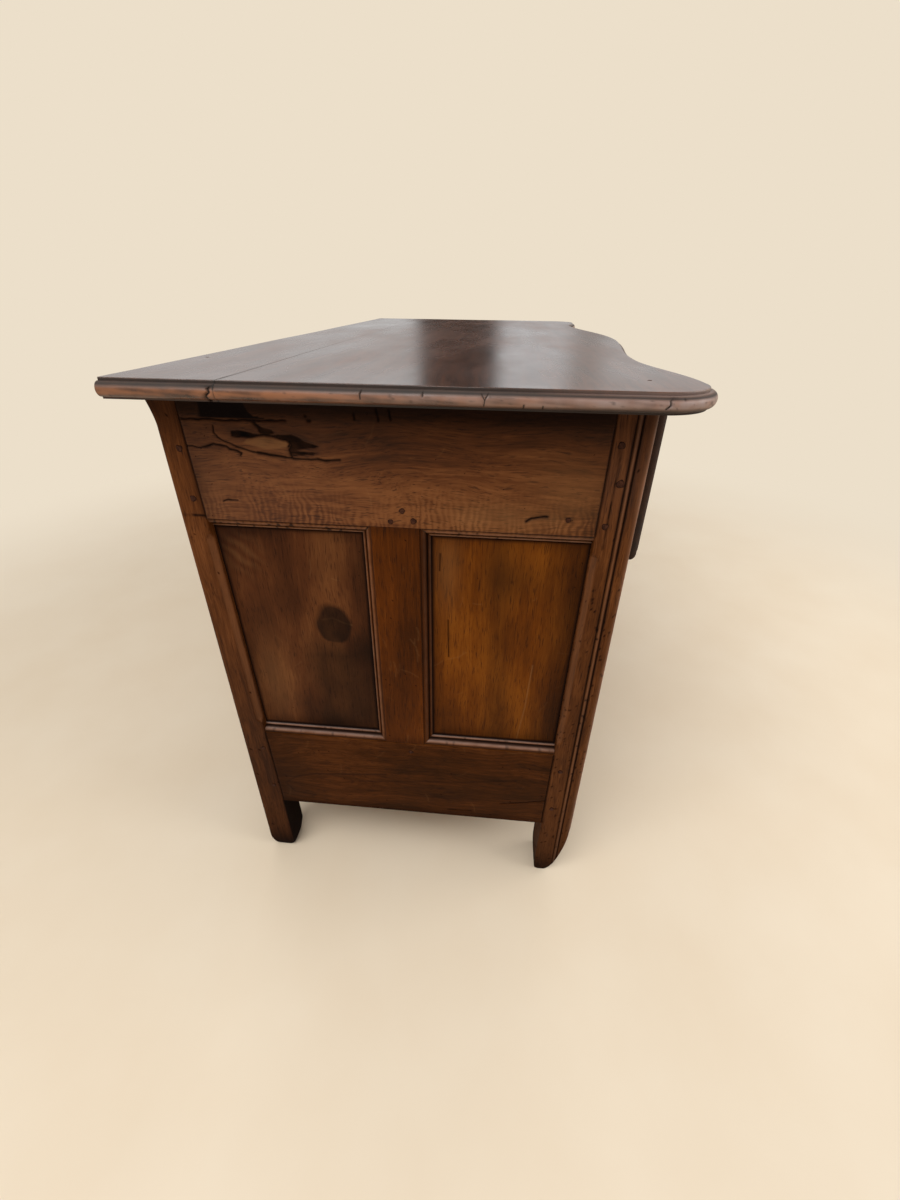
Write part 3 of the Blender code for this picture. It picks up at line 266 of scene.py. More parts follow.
def blot(across, height, centre, reach):
    """A soft oval: a bell of the distance from its centre, measured in its two reaches."""
    return fade(np.hypot((across - centre[0]) / reach[0], (height - centre[1]) / reach[1]), 1.0)


def cracks(across, height, lines, seed):
    """Depth and darkness of cracks: bells round wavering lines. Each line is (path, half width, depth)."""
    points = np.stack([across, height, np.zeros_like(across)], axis=-1)
    across = across + 0.0007 * unevenness(points, 0.006, seed)
    height = height + 0.0007 * unevenness(points, 0.006, seed + 1)
    bells = [(fade(from_line(across, height, path), width), depth) for path, width, depth in lines]
    return most(*(depth * bell for bell, depth in bells)), most(*(bell for bell, _ in bells))


def numbered(points):
    """The numbers of a grid's points, row by row."""
    return np.arange(points.shape[0] * points.shape[1]).reshape(points.shape[:2])


def grid_faces(index, closed):
    """Quads between neighbours of a grid of point numbers. Closed joins the last column to the first."""
    if closed:
        index = np.concatenate([index, index[:, :1]], axis=1)
    corners = [index[:-1, :-1], index[:-1, 1:], index[1:, 1:], index[1:, :-1]]
    return np.stack(corners, axis=-1).reshape(-1, 4)


def surface(points, faces, **marks):
    """A grid of points with its faces, and its marks spread over the grid, all as plain lists of points."""
    spread = {name: np.broadcast_to(values, points.shape[:2]).ravel() for name, values in marks.items()}
    return points.reshape(-1, 3), faces, spread


def tube(rings, **marks):
    """A closed shell: rings of points joined in turn, with a flat cap on the first and on the last."""
    index = numbered(rings)
    return surface(rings, [grid_faces(index, True), index[:1, ::-1], index[-1:]], **marks)


def patch(points, **marks):
    """An open sheet over a grid of points, which is welded to its neighbours when the piece is made."""
    return surface(points, [grid_faces(numbered(points), False)], **marks)


def place_object(name, data):
    """A new object in the scene."""
    thing = bpy.data.objects.new(name, data)
    bpy.context.scene.collection.objects.link(thing)
    return thing


MARKS = ("grime", "wear", "crack", "pale", "figure", "knot", "bloom", "polish")
SHARP_ANGLE = math.radians(38)
WELD_DISTANCE = 2e-6


def add_piece(name, shells, finish, replaced=None, body="carcase"):
    """One object from shells: welded, faces outwards, smooth but for sharp edges, with its marks as
    attributes. Replaced is the solid that it stands for."""
    starts = np.cumsum([0] + [len(points) for points, _, _ in shells])
    points = np.concatenate([points for points, _, _ in shells])
    points = points - [0.0, UPPER_AJAR if body.startswith("upper") else 0.0, 0.0]
    arrays = [array + start for (_, faces, _), start in zip(shells, starts) for array in faces]
    loops = np.concatenate([array.ravel() for array in arrays])
    sizes = np.concatenate([np.full(len(array), array.shape[1]) for array in arrays])
    first_loops = np.concatenate([[0], np.cumsum(sizes)[:-1]])
    mesh = bpy.data.meshes.new(name)
    mesh.vertices.add(len(points))
    mesh.vertices.foreach_set("co", points.ravel().astype(np.float32))
    mesh.loops.add(len(loops))
    mesh.loops.foreach_set("vertex_index", loops.astype(np.int32))
    mesh.polygons.add(len(sizes))
    mesh.polygons.foreach_set("loop_start", first_loops.astype(np.int32))
    mesh.update(calc_edges=True)
    for mark in MARKS:
        parts = [np.broadcast_to(marks.get(mark, 0.0), len(corners)) for corners, _, marks in shells]
        values = np.concatenate(parts)
        if values.any():
            layer = mesh.attributes.new(mark, "FLOAT", "POINT")
            layer.data.foreach_set("value", ramp(values).astype(np.float32))
    bm = bmesh.new()
    bm.from_mesh(mesh)
    bmesh.ops.remove_doubles(bm, verts=bm.verts, dist=WELD_DISTANCE)
    bmesh.ops.recalc_face_normals(bm, faces=bm.faces)
    bm.to_mesh(mesh)
    bm.free()
    mesh.shade_smooth()
    mesh.set_sharp_from_angle(angle=SHARP_ANGLE)
    mesh.materials.append(finish)
    piece = place_object(name, mesh)
    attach(piece, body)
    if replaced:
        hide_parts(replaced)


# Materials


def linear(code):
    """Linear colour of an sRGB hex value, each channel through the sRGB curve."""
    value = np.array([int(code[i : i + 2], 16) for i in (1, 3, 5)]) / 255
    curve = np.where(value <= 0.04045, value / 12.92, ((value + 0.055) / 1.055) ** 2.4)
    return (*curve.tolist(), 1.0)


def feed(node, inputs):
    """Sets a node's inputs, each to a constant or from another node's output."""
    for key, value in inputs.items():
        if isinstance(value, bpy.types.NodeSocket):
            node.id_data.links.new(value, node.inputs[key])
        else:
            node.inputs[key].default_value = value


def add_node(tree, kind, inputs=None, out=0, stops=(), **settings):
    """Adds a node with its settings and inputs, and gives back one of its outputs. Stops are a ramp's
    places and colours."""
    node = tree.nodes.new(f"ShaderNode{kind}")
    for name, value in settings.items():
        setattr(node, name, value)
    feed(node, inputs or {})
    if stops:
        elements = node.color_ramp.elements
        elements[0].position, elements[0].color = stops[0]
        elements[-1].position, elements[-1].color = stops[-1]
        for position, colour in stops[1:-1]:
            elements.new(position).color = colour
    return node.outputs[out]


def new_material(name):
    """A new material, its nodes, its shader and the place on the object that they look at."""
    material = bpy.data.materials.new(name)
    material.use_nodes = True
    tree = material.node_tree
    return material, tree, tree.nodes["Principled BSDF"], add_node(tree, "TexCoord", out="Object")


def by_axis(grain, along, across):
    """Three values, one for the axis along the grain and another for the two across it."""
    return [along if axis == grain else across for axis in range(3)]


def stops_of(codes, places):
    """A ramp's stops: hex colours at places between 0 and 1."""
    return [(place, linear(code)) for place, code in zip(places, codes)]


# Colours of the marks on walnut, laid on in this order: sapwood, knots, rubbed wood that also carries painted
# highlights, a painted grey sheen, dirt that also carries painted shade, cracks
MARK_COLOURS = {"pale": "#a87a4c", "knot": "#150803", "wear": "#8f5f40"}
MARK_COLOURS |= {"bloom": "#8d7872", "grime": "#0d0605", "crack": "#060303"}
PORE_COLOUR = "#1d0d06"
# How much rougher the marks make it
ROUGHER = {"grime": 0.55, "crack": 0.6, "wear": 0.22}
# Streaks of 16 mm, dark lines of 4 mm, fibres drawn 1.6 mm wide so that they show: size, detail and weight
WALNUT_GRAIN = [(0.016, 4.0, 0.22), (0.004, 3.0, 0.18), (0.0016, 2.0, 0.14)]
# A wave of scale 1 repeats every 0.314 m, and the ripple figure every 7 mm
RIPPLE_SCALE = 0.314 / 0.007


def walnut(
    name, grain, tones, gloss, pith, spread=0.12, bump=0.2, shine=0.06, sway=0.020, streaks=1.0, **own
):
    """Old walnut under wax. The eye sees cloudy blotches, grain that wanders along the board, fine dark
    lines, short dark pores, black wax in cracks and corners that also carries painted shade, paler rubbed
    edges that also carry painted highlights, and a painted grey sheen. Grain is the axis along the board,
    pith the middle of the tree, sway how far the grain wanders, streaks how strongly it shows, tones are
    the dark, middle and light wood, and own are mark colours of the board's own."""
    material, tree, shader, place = new_material(name)
    # The grain wanders by about a third of the sway over a length of 150 mm
    scale = by_axis(grain, 0.4, 1.0)
    halved = add_node(tree, "Mapping", {"Vector": place, "Scale": scale, "Location": pith})
    wander = add_node(tree, "TexNoise", {"Vector": halved, "Scale": 1 / 0.07, "Detail": 1.5}, "Color")
    swayed = {0: wander, 1: by_axis(grain, 0.0, sway), 2: place}
    flowing = add_node(tree, "VectorMath", swayed, operation="MULTIPLY_ADD")
    scale = by_axis(grain, 0.06, 1.0)
    stretched = add_node(tree, "Mapping", {"Vector": flowing, "Scale": scale, "Location": pith})

    # Blotches of a hand's width, then the grain down to the fibres, which give the relief too
    blotches = {"Vector": halved, "Scale": 1 / spread, "Detail": 4.0, "Roughness": 0.55}
    cloud = add_node(tree, "TexNoise", blotches)
    tone = add_node(tree, "Math", {0: cloud, 1: 1 - 0.54 * streaks}, operation="MULTIPLY")
    for size, detail, weight in WALNUT_GRAIN:
        fibre = add_node(tree, "TexNoise", {"Vector": stretched, "Scale": 1 / size, "Detail": detail})
        tone = add_node(tree, "Math", {0: fibre, 1: weight * streaks, 2: tone}, operation="MULTIPLY_ADD")

    # Ripple figure: wavering bands across the grain, where the board has it
    waves = {"Vector": flowing, "Scale": RIPPLE_SCALE, "Distortion": 11.0, "Detail": 3.0, "Detail Scale": 0.8}
    ripple = add_node(tree, "TexWave", waves, "Fac", bands_direction="XYZ"[grain])
    amounts = {mark: add_node(tree, "Attribute", None, "Fac", attribute_name=mark) for mark in MARKS}
    ripple = add_node(tree, "Math", {0: ripple, 1: 0.5}, operation="SUBTRACT")
    ripple = add_node(tree, "Math", {0: ripple, 1: amounts["figure"]}, operation="MULTIPLY")
    tone = add_node(tree, "Math", {0: ripple, 1: 0.16, 2: tone}, operation="MULTIPLY_ADD")
    colour = add_node(tree, "ValToRGB", {"Fac": tone}, stops=stops_of(tones, (0.39, 0.50, 0.61)))

    # Pores, drawn 1 mm wide and 18 mm long so that they show
    pores = add_node(tree, "TexNoise", {"Vector": stretched, "Scale": 1 / 0.0011, "Detail": 1.0})
    pores = add_node(tree, "MapRange", {0: pores, 1: 0.58, 2: 0.70, 3: 0.0, 4: 0.62})
    stains = [(amounts[mark], code) for mark, code in (MARK_COLOURS | own).items()]
    for amount, code in [(pores, PORE_COLOUR), *stains]:
        colour = add_node(tree, "Mix", {0: amount, 6: colour, 7: linear(code)}, 2, data_type="RGBA")

    rough = add_node(tree, "MapRange", {0: cloud, 1: 0.3, 2: 0.7, 3: gloss - 0.06, 4: gloss + 0.08})
    for mark, rise in ROUGHER.items():
        rough = add_node(tree, "Math", {0: amounts[mark], 1: rise, 2: rough}, operation="MULTIPLY_ADD")
    relief = add_node(tree, "Math", {0: pores, 1: -0.6, 2: fibre}, operation="MULTIPLY_ADD")
    raised = add_node(tree, "Bump", {"Strength": bump, "Distance": 0.0003, "Height": relief})
    feed(shader, {"Base Color": colour, "Roughness": rough, "Normal": raised, "Specular IOR Level": shine})
    # Edges that hands rub take a polish
    feed(shader, {"Coat Weight": amounts["polish"], "Coat Roughness": 0.42})
    return material


def poplar(name, grain, tones, gloss):
    """Plain or rough-sawn poplar, never finished: pale and matt, with faint long grain and greyed
    patches."""
    material, tree, shader, place = new_material(name)
    stretched = add_node(tree, "Mapping", {"Vector": place, "Scale": by_axis(grain, 0.05, 1.0)})
    # Streaks of 18 mm, fibres of 2 mm, and dust and damp in patches of 120 mm
    long_streaks = {"Vector": stretched, "Scale": 1 / 0.018, "Detail": 6.0, "Roughness": 0.65}
    streak = add_node(tree, "TexNoise", long_streaks)
    fibre = add_node(tree, "TexNoise", {"Vector": stretched, "Scale": 1 / 0.002, "Detail": 2.0})
    stain = add_node(tree, "TexNoise", {"Vector": place, "Scale": 1 / 0.12, "Detail": 4.0})
    tone = 0.0
    for part, weight in ((streak, 0.5), (stain, 0.35), (fibre, 0.15)):
        tone = add_node(tree, "Math", {0: part, 1: weight, 2: tone}, operation="MULTIPLY_ADD")
    colour = add_node(tree, "ValToRGB", {"Fac": tone}, stops=stops_of(tones, (0.34, 0.5, 0.66)))
    rough = add_node(tree, "MapRange", {0: stain, 1: 0.3, 2: 0.7, 3: gloss - 0.06, 4: gloss + 0.06})
    raised = add_node(tree, "Bump", {"Strength": 0.6, "Distance": 0.0004, "Height": fibre})
    feed(shader, {"Base Color": colour, "Roughness": rough, "Normal": raised})
    return material


def old_brass():
    """Cast brass, once gilt, now brown in the hollows and bright where fingers rub it."""
    material, tree, shader, place = new_material("old_brass")
    # Tarnish in patches of 20 mm, casting grain of 1.5 mm
    tarnish = add_node(tree, "TexNoise", {"Vector": place, "Scale": 1 / 0.020, "Detail": 4.0})
    grain = add_node(tree, "TexNoise", {"Vector": place, "Scale": 1 / 0.0015, "Detail": 2.0})
    stops = stops_of(("#76592b", "#9c783b", "#b8934d"), (0.30, 0.50, 0.70))
    colour = add_node(tree, "ValToRGB", {"Fac": tarnish}, stops=stops)
    dirt = add_node(tree, "Attribute", None, "Fac", attribute_name="grime")
    browned = {0: dirt, 6: colour, 7: linear("#2c1f10")}
    colour = add_node(tree, "Mix", browned, 2, data_type="RGBA")
    rough = add_node(tree, "MapRange", {0: tarnish, 1: 0.35, 2: 0.65, 3: 0.46, 4: 0.30})
    raised = add_node(tree, "Bump", {"Strength": 0.35, "Distance": 0.0002, "Height": grain})
    feed(shader, {"Base Color": colour, "Roughness": rough, "Normal": raised, "Metallic": 1.0})
    return material


X_GRAIN, Y_GRAIN, Z_GRAIN = range(3)
TOP_TONES = ("#2a1610", "#46281b", "#5f3a28")
RAIL_TONES = ("#3b1f0d", "#5c3318", "#794a28")
LOW_RAIL_TONES = ("#2a1403", "#412006", "#583012")
BACK_POST_TONES = ("#3d1f0b", "#5a3216", "#744524")
FRONT_POST_TONES = ("#341a09", "#512c11", "#6d401f")
MUNTIN_TONES = ("#3b1a02", "#562904", "#6e3a0e")
KNOTTY_TONES = ("#3b1d0b", "#532d15", "#6f4323")
STREAKY_TONES = ("#4a2404", "#633205", "#7d450d")
DRAWER_TONES = ("#371b0a", "#593115", "#754624")
PEG_TONES = ("#28160f", "#3a2117", "#4d2e20")
LINING_TONES = ("#7d5c38", "#a5804f", "#c3a06c")
BACK_RAIL_TONES = ("#463120", "#664a30", "#826342")
LOW_BACK_TONES = ("#4f3823", "#765838", "#957550")
HIGH_BACK_TONES = ("#4d3b2a", "#6b543d", "#867057")

# The top's rubbed colour, which on the nose is also a painted highlight
TOP_LOOK = {"spread": 0.16, "bump": 0.03, "shine": 0.58, "wear": "#8a5634"}
TOP_WOOD = walnut("polished_walnut_top", X_GRAIN, TOP_TONES, 0.26, (0.0, 0.1, 0.06), **TOP_LOOK)
RAIL_LOOK = {"shine": 0.10, "sway": 0.045}
RAIL_WOOD = walnut("waxed_walnut_rail", Y_GRAIN, RAIL_TONES, 0.42, (0.05, 0.0, 0.21), **RAIL_LOOK)
LOW_LOOK = {"shine": 0.04, "sway": 0.045}
LOW_RAIL_WOOD = walnut("waxed_walnut_low_rail", Y_GRAIN, LOW_RAIL_TONES, 0.45, (0.06, 0.2, 0.1), **LOW_LOOK)
BACK_POST_WOOD = walnut("waxed_walnut_back_post", Z_GRAIN, BACK_POST_TONES, 0.42, (0.07, 0.05, 0.0))
FRONT_POST_WOOD = walnut("waxed_walnut_front_post", Z_GRAIN, FRONT_POST_TONES, 0.42, (0.03, 0.12, 0.0))
MUNTIN_WOOD = walnut("waxed_walnut_muntin", Z_GRAIN, MUNTIN_TONES, 0.42, (0.09, 0.02, 0.0), streaks=0.7)
KNOTTY_LOOK = {"spread": 0.10, "streaks": 0.5}
BACK_PANEL_WOOD = walnut("waxed_walnut_panel", Z_GRAIN, KNOTTY_TONES, 0.42, (0.1, -0.1, 0.0), **KNOTTY_LOOK)
PALE_LOOK = {"spread": 0.10, "streaks": 0.7}
FRONT_PANEL_WOOD = walnut(
    "waxed_walnut_pale_panel", Z_GRAIN, STREAKY_TONES, 0.42, (0.08, 0.12, 0.0), **PALE_LOOK
)
DRAWER_WOOD = walnut("waxed_walnut_drawer_front", X_GRAIN, DRAWER_TONES, 0.36, (0.0, 0.06, 0.3), shine=0.3)
PEG_WOOD = walnut("walnut_peg_end", X_GRAIN, PEG_TONES, 0.5, (0.0, 0.0, 0.0), spread=0.006)
LINING_LONG = poplar("plain_poplar_lining", X_GRAIN, LINING_TONES, 0.72)
LINING_DEEP = poplar("plain_poplar_side", Y_GRAIN, LINING_TONES, 0.72)
BACK_RAIL_WOOD = poplar("rough_poplar_rail", X_GRAIN, BACK_RAIL_TONES, 0.82)
LOW_BACK_WOOD = poplar("rough_poplar_back", X_GRAIN, LOW_BACK_TONES, 0.84)
HIGH_BACK_WOOD = poplar("rough_poplar_grey_back", X_GRAIN, HIGH_BACK_TONES, 0.84)
BRASS = old_brass()


# Top

# Fineness of the edge, and how far its marks reach up and in from the end
EDGE_SPACING = 0.0012
CREST_RADIUS = 0.0008
EDGE_TOP = HEIGHT - 0.0006
EDGE_REACH = 0.012
NOSE_TOP = HEIGHT - TOP_STEP_HEIGHT
NOSE_BLEND = 0.004
JOINT_DIRT_WIDTH = 0.0015


def top_edge():
    """(set back, height) of the moulded edge: top surface, a small step, a round nose, and the
    underside."""
    crest = arc((TOP_STEP_SET_BACK + CREST_RADIUS, HEIGHT - CREST_RADIUS), CREST_RADIUS, 90, 180, 4)
    step = [(TOP_STEP_SET_BACK, NOSE_TOP)]
    nose = arc((TOP_NOSE_RADIUS, NOSE_TOP - TOP_NOSE_RADIUS), TOP_NOSE_RADIUS, 90, 270, 20)
    return np.concatenate([[(TOP_MARGIN, HEIGHT)], crest, step, nose, [(TOP_NOSE_RADIUS, UNDER_TOP)]])


def top_outline():
    """The front board's outline from its joint round the left end and the front to the right end, and the
    number of the point in the middle of the left corner. The right half mirrors the left."""
    corner_y = FRONT_Y - TOP_FRONT_OVERHANG + TOP_CORNER_RADIUS
    corner_x = TOP_END_X - TOP_CORNER_RADIUS
    corner = arc((-corner_x, corner_y), TOP_CORNER_RADIUS, 180, 270, 24)
    straight = np.concatenate([np.arange(TOP_JOINT_Y, corner_y, -0.0028), BACK_Y - by_the_cracks()])
    straight = np.unique(straight[(straight <= TOP_JOINT_Y) & (straight > corner_y + 0.0004)])[::-1]
    rounded = resample(corner[:13], EDGE_SPACING)
    end = np.concatenate([np.stack([np.full(len(straight), -TOP_END_X), straight], axis=-1), rounded])
    x = np.linspace(-corner_x, 0.0, 96)
    front = np.concatenate([corner[13:-1], np.stack([x, top_line(x)], axis=-1)])
    half = np.concatenate([end, front])
    return np.concatenate([half, half[-2::-1] * [-1, 1]]), len(end) - 1


# Cracks across the near edge of the top, as (distance from the back corner, height), half width and depth
DEEP_NOSE_CRACK = [(0.1045, 0.8190), (0.0985, 0.8152), (0.1000, 0.8122), (0.0958, 0.8088), (0.0965, 0.8040)]
NOSE_CRACKS = [
    (DEEP_NOSE_CRACK, 0.0014, 0.0026),
    ([(0.2492, 0.8190), (0.2478, 0.8142), (0.2474, 0.8095)], 0.0007, 0.0009),
    ([(0.3070, 0.8190), (0.3064, 0.8135)], 0.0006, 0.0007),
    ([(0.3672, 0.8185), (0.3644, 0.8125), (0.3630, 0.8070)], 0.0006, 0.0006),
    ([(0.3604, 0.8180), (0.3644, 0.8125)], 0.0005, 0.0005),
    ([(0.4000, 0.8085), (0.4003, 0.8060)], 0.0008, 0.0008),
    ([(0.4175, 0.8080), (0.4177, 0.8058)], 0.0007, 0.0007),
    ([(0.5335, 0.8190), (0.5301, 0.8155), (0.5312, 0.8122), (0.5280, 0.8085)], 0.0008, 0.0020),
    ([(0.5430, 0.8165), (0.5434, 0.8160)], 0.0010, 0.0010),
]
# Chips at the upper side of the edge: middle, the two reaches and depth
NOSE_CHIPS = [((0.1005, 0.8178), (0.0052, 0.0030), 0.0018), ((0.5325, 0.8182), (0.0034, 0.0022), 0.0018)]


def by_the_cracks():
    """Distances from the back corner at which the near edge needs close points: round the cracks'
    corners."""
    corners = np.concatenate([np.array(path)[:, 0] for path, _, _ in NOSE_CRACKS])
    return np.unique((corners[:, None] + np.linspace(-0.0013, 0.0013, 5)).round(5))


def nose_damage(points):
    """Depth and darkness of the cracks and chips of the near edge, and of a rubbed and scratched
    surface."""
    x, y, z = np.moveaxis(points, -1, 0)
    dent, dark = cracks(BACK_Y - y, z, NOSE_CRACKS, 17)
    for middle, reach, depth in NOSE_CHIPS:
        chip = blot(BACK_Y - y, z, middle, reach)
        dent = np.maximum(dent, depth * chip)
        dark = np.maximum(dark, 0.6 * chip)
    hills = 0.0002 * (1 + unevenness(points, 0.05, 3)) + 0.00016 * (1 + unevenness(points, 0.008, 7))
    return np.where(x < 0, dent, 0.0) + np.clip(hills, 0, None), np.where(x < 0, dark, 0.0)


def nose_marks(points, z):
    """A dark line where the step meets the nose and a darker lower side of the nose, both painted shade,
    dirt in specks, painted shade on the step, the rubbed wood between them in streaks with a painted
    highlight across the nose's middle, and a painted grey sheen on the near end that grows towards the
    front and lies on the step."""
    from_back = BACK_Y - points[..., 1]
    near = ramp(-10 * points[..., 0] - 5.7)
    forward = ramp((from_back - 0.16) / 0.36) * near
    # Painted shade: a dark line above the nose, and the nose's lower side darker, more so towards the front
    line = 0.9 * fade(z - (UNDER_TOP + 0.0152), 0.0013 + 0.0012 * near * (1 - forward))
    foot = 0.85 * ramp((UNDER_TOP + 0.0030 + 0.0045 * forward - z) / 0.0035)
    specks = 0.5 * ramp(4 * unevenness(points, 0.003, 9) - 2.6)
    on_step = near * (z > NOSE_TOP - 0.0004)
    corner_end = ramp((from_back - 0.36) / 0.16)
    # Painted shade on the near end's step, less towards the front corner
    step_shade = on_step * (0.82 - 0.45 * corner_end)
    # Painted highlight: the rubbed wood is lightest in a band across the nose's middle
    peak = UNDER_TOP + 0.0100
    middle = fade(z - peak, np.where(z < peak, 0.0066, 0.0046))
    streaks = unevenness(points * (1, 0.12, 1), 0.0035, 15)
    patches = 0.70 + 0.34 * unevenness(points, 0.04, 5) + 0.30 * unevenness(points, 0.008, 6) + 0.75 * streaks
    wear = middle * patches * (1 - 0.35 * near * fade(from_back - 0.31, 0.045))
    # Painted grey sheen on the near end, growing towards the front, and on the step at the front corner
    painted_haze = 0.92 + 0.26 * unevenness(points, 0.03, 8) + 0.24 * unevenness(points, 0.006, 10) + 0.50 * streaks
    bloom = middle * forward * painted_haze + 0.55 * on_step * corner_end
    return most(line, foot, specks, step_shade), ramp(wear), ramp(bloom)


def joint_dirt(x, away):
    """Dirt in the joint of the two boards: a thin bell, stronger at the near end."""
    return (0.10 + 0.40 * fade(x + TOP_END_X, 0.30)) * fade(away, JOINT_DIRT_WIDTH)


def front_top_board():
    """The wide board: its edge profile carried round the outline, and a sheet that spans the four sides.
    The sheet is a Coons patch: both pairs of opposite sides mixed, less the four corners' own mix."""
    outline, corner = top_outline()
    step = np.gradient(outline, axis=0)
    step /= np.linalg.norm(step, axis=1, keepdims=True)
    normal = np.stack([step[:, 1], -step[:, 0]], axis=-1)
    set_back, z = resample(top_edge(), EDGE_SPACING).T
    z = z[:, None]
    ring = outline[None] - normal[None] * set_back[:, None, None]
    points = np.concatenate([ring, np.broadcast_to(z[..., None], ring.shape[:2] + (1,))], axis=-1)
    on_nose = ramp((NOSE_TOP - z) / NOSE_BLEND)
    dent, crack = nose_damage(points)
    points[..., :2] -= normal[None] * (dent * on_nose)[..., None]
    # The nose's dirt with painted shade, rubbed wood with a painted highlight, and a painted grey sheen
    grime, wear, bloom = (amount * (z < EDGE_TOP) for amount in nose_marks(points, z))
    marks = {"grime": grime, "wear": wear, "crack": crack * on_nose, "bloom": bloom, "polish": 0.25 * wear}
    index = numbered(points)
    edge = surface(points, [grid_faces(index, False), index[-1:]], **marks)

    rim = points[0]
    far_corner = len(rim) - corner
    west, south, east = rim[: corner + 1], rim[corner:far_corner], rim[far_corner - 1 :][::-1]
    v = np.linspace(0, 1, len(west))[:, None, None]
    u = np.linspace(0, 1, len(south))[None, :, None]
    north = (1 - u) * west[0] + u * east[0]
    corners = (1 - v) * north + v * ((1 - u) * south[0] + u * south[-1])
    sheet = (1 - v) * north + v * south[None] + (1 - u) * west[:, None] + u * east[:, None] - corners
    away = ramp(np.minimum(np.minimum(u, 1 - u) * 60, np.minimum(v, 1 - v) * 12))[..., 0]
    sheet[..., 2] -= TOP_SAG * away * (1 + unevenness(sheet, 0.16, 11)) / 2
    field = patch(sheet, grime=joint_dirt(sheet[..., 0], TOP_JOINT_Y - sheet[..., 1]))
    joint = np.concatenate([points[:, 0], points[::-1, -1], sheet[0, -2:0:-1]])
    shells = [edge, field, (joint, [np.arange(len(joint))[None]], {})]
    add_piece("top_board_front_wood", shells, TOP_WOOD, "top_board_front")


def back_top_board():
    """The narrow board: one section, nose to nose, carried from the joint to the back edge."""
    edge = top_edge()
    nose = resample(np.stack([TOP_END_X - edge[:, 0], edge[:, 1]], axis=-1), EDGE_SPACING)
    level = resample([nose[0] * [-1, 1], nose[0]], COARSE)[1:-1]
    x, z = np.concatenate([nose[::-1] * [-1, 1], level, nose]).T
    depth = TOP_BACK_Y - TOP_JOINT_Y - FIT_GAP
    by_cracks = BACK_Y - by_the_cracks()
    y = TOP_JOINT_Y + FIT_GAP + shares(depth, 0.002) * depth
    y = np.unique(np.concatenate([y, by_cracks[(by_cracks > y[3]) & (by_cracks < y[-4])]]))
    points = np.stack(np.broadcast_arrays(x[None], y[:, None], z[None]), axis=-1).copy()
    at_end = np.abs(x) > TOP_END_X - EDGE_REACH
    on_nose = ramp((NOSE_TOP - z) / NOSE_BLEND) * at_end
    dent, crack = nose_damage(points)
    points[..., 0] += np.sign(-x) * on_nose * dent
    flat = ramp((TOP_END_X - 0.03 - np.abs(x)) / 0.03) * (z > HEIGHT - 1e-5)
    points[..., 2] -= TOP_SAG * flat * (1 + unevenness(points, 0.16, 12)) / 2
    # The nose's dirt with painted shade, rubbed wood with a painted highlight, and a painted grey sheen
    grime, wear, bloom = (amount * (at_end * (z < EDGE_TOP)) for amount in nose_marks(points, z))
    marks = {"wear": wear, "polish": 0.25 * wear, "bloom": bloom, "crack": crack * on_nose}
    shell = tube(points, grime=grime + joint_dirt(x, (y - TOP_JOINT_Y)[:, None]), **marks)
    add_piece("top_board_back_wood", [shell], TOP_WOOD, "top_board_back")


front_top_board()
back_top_board()


# End frames


def stuck_moulding():
    """(run, depth) of the moulding worked on rails and muntins: a fillet, an ovolo, a quirk and a small
    bead, as shares of its width and depth."""
    turn = np.linspace(0, math.pi / 2, 11)
    ovolo = np.stack([0.08 + 0.54 * np.sin(turn), 0.75 - 0.57 * np.cos(turn)], axis=-1)
    bead = np.stack([0.72 + 0.28 * np.sin(turn), 0.98 - 0.22 * np.cos(turn)], axis=-1)
    shape = np.concatenate([[(0.0, 0.03), (0.0, 0.18)], ovolo, [(0.64, 0.84)], bead, [(1.0, 1.0)]])
    return shape * [MOULDING_WIDTH, MOULDING_DEPTH]


def moulding_marks(run, depth):
    """Rubbed crests of the moulding lit as a painted highlight, wax in its quirks, from each point's run and
    depth.
    """
    crest = fade(run - 0.0002, 0.0007) * (depth < 0.0025)
    crest = crest + 0.8 * fade(run - 0.0055, 0.002) + fade(run - 0.0118, 0.0012)
    quirk = fade(run - 0.0005, 0.0015) * fade(depth - 0.0024, 0.0012)
    quirk = quirk + fade(run - 0.0084, 0.0015) + fade(run - 0.0131, 0.0010)
    inside = (run > 0) & (run < MOULDING_WIDTH + 1e-6)
    return np.where(inside, 0.42 * crest, 0.0), np.where(inside, 0.95 * quirk, 0.0)


def scratches(across, height, low, high, count, seed):
    """Faint scratches: thin bells round short bent lines at seeded places between two corners."""
    rng = np.random.default_rng(seed)
    amount = np.zeros_like(across)
    for _ in range(count):
        start = rng.uniform(low, high)
        turn = rng.normal(1.2, 0.6)
        step = rng.uniform(0.005, 0.030) * np.array([math.cos(turn), math.sin(turn)])
        bend = 0.08 * np.array([step[1], -step[0]])
        away = from_line(across, height, [start, start + step / 2 + bend, start + step])
        amount = np.maximum(amount, rng.uniform(0.03, 0.10) * fade(away, 0.0009))
    return amount


def worm_holes(mask, count, seed):
    """Darkness of a few beetle holes, at seeded points of a face."""
    holes = np.zeros(mask.shape)
    chosen = np.random.default_rng(seed).choice(np.flatnonzero(mask), count, replace=False)
    holes.flat[chosen] = 1.0
    return holes


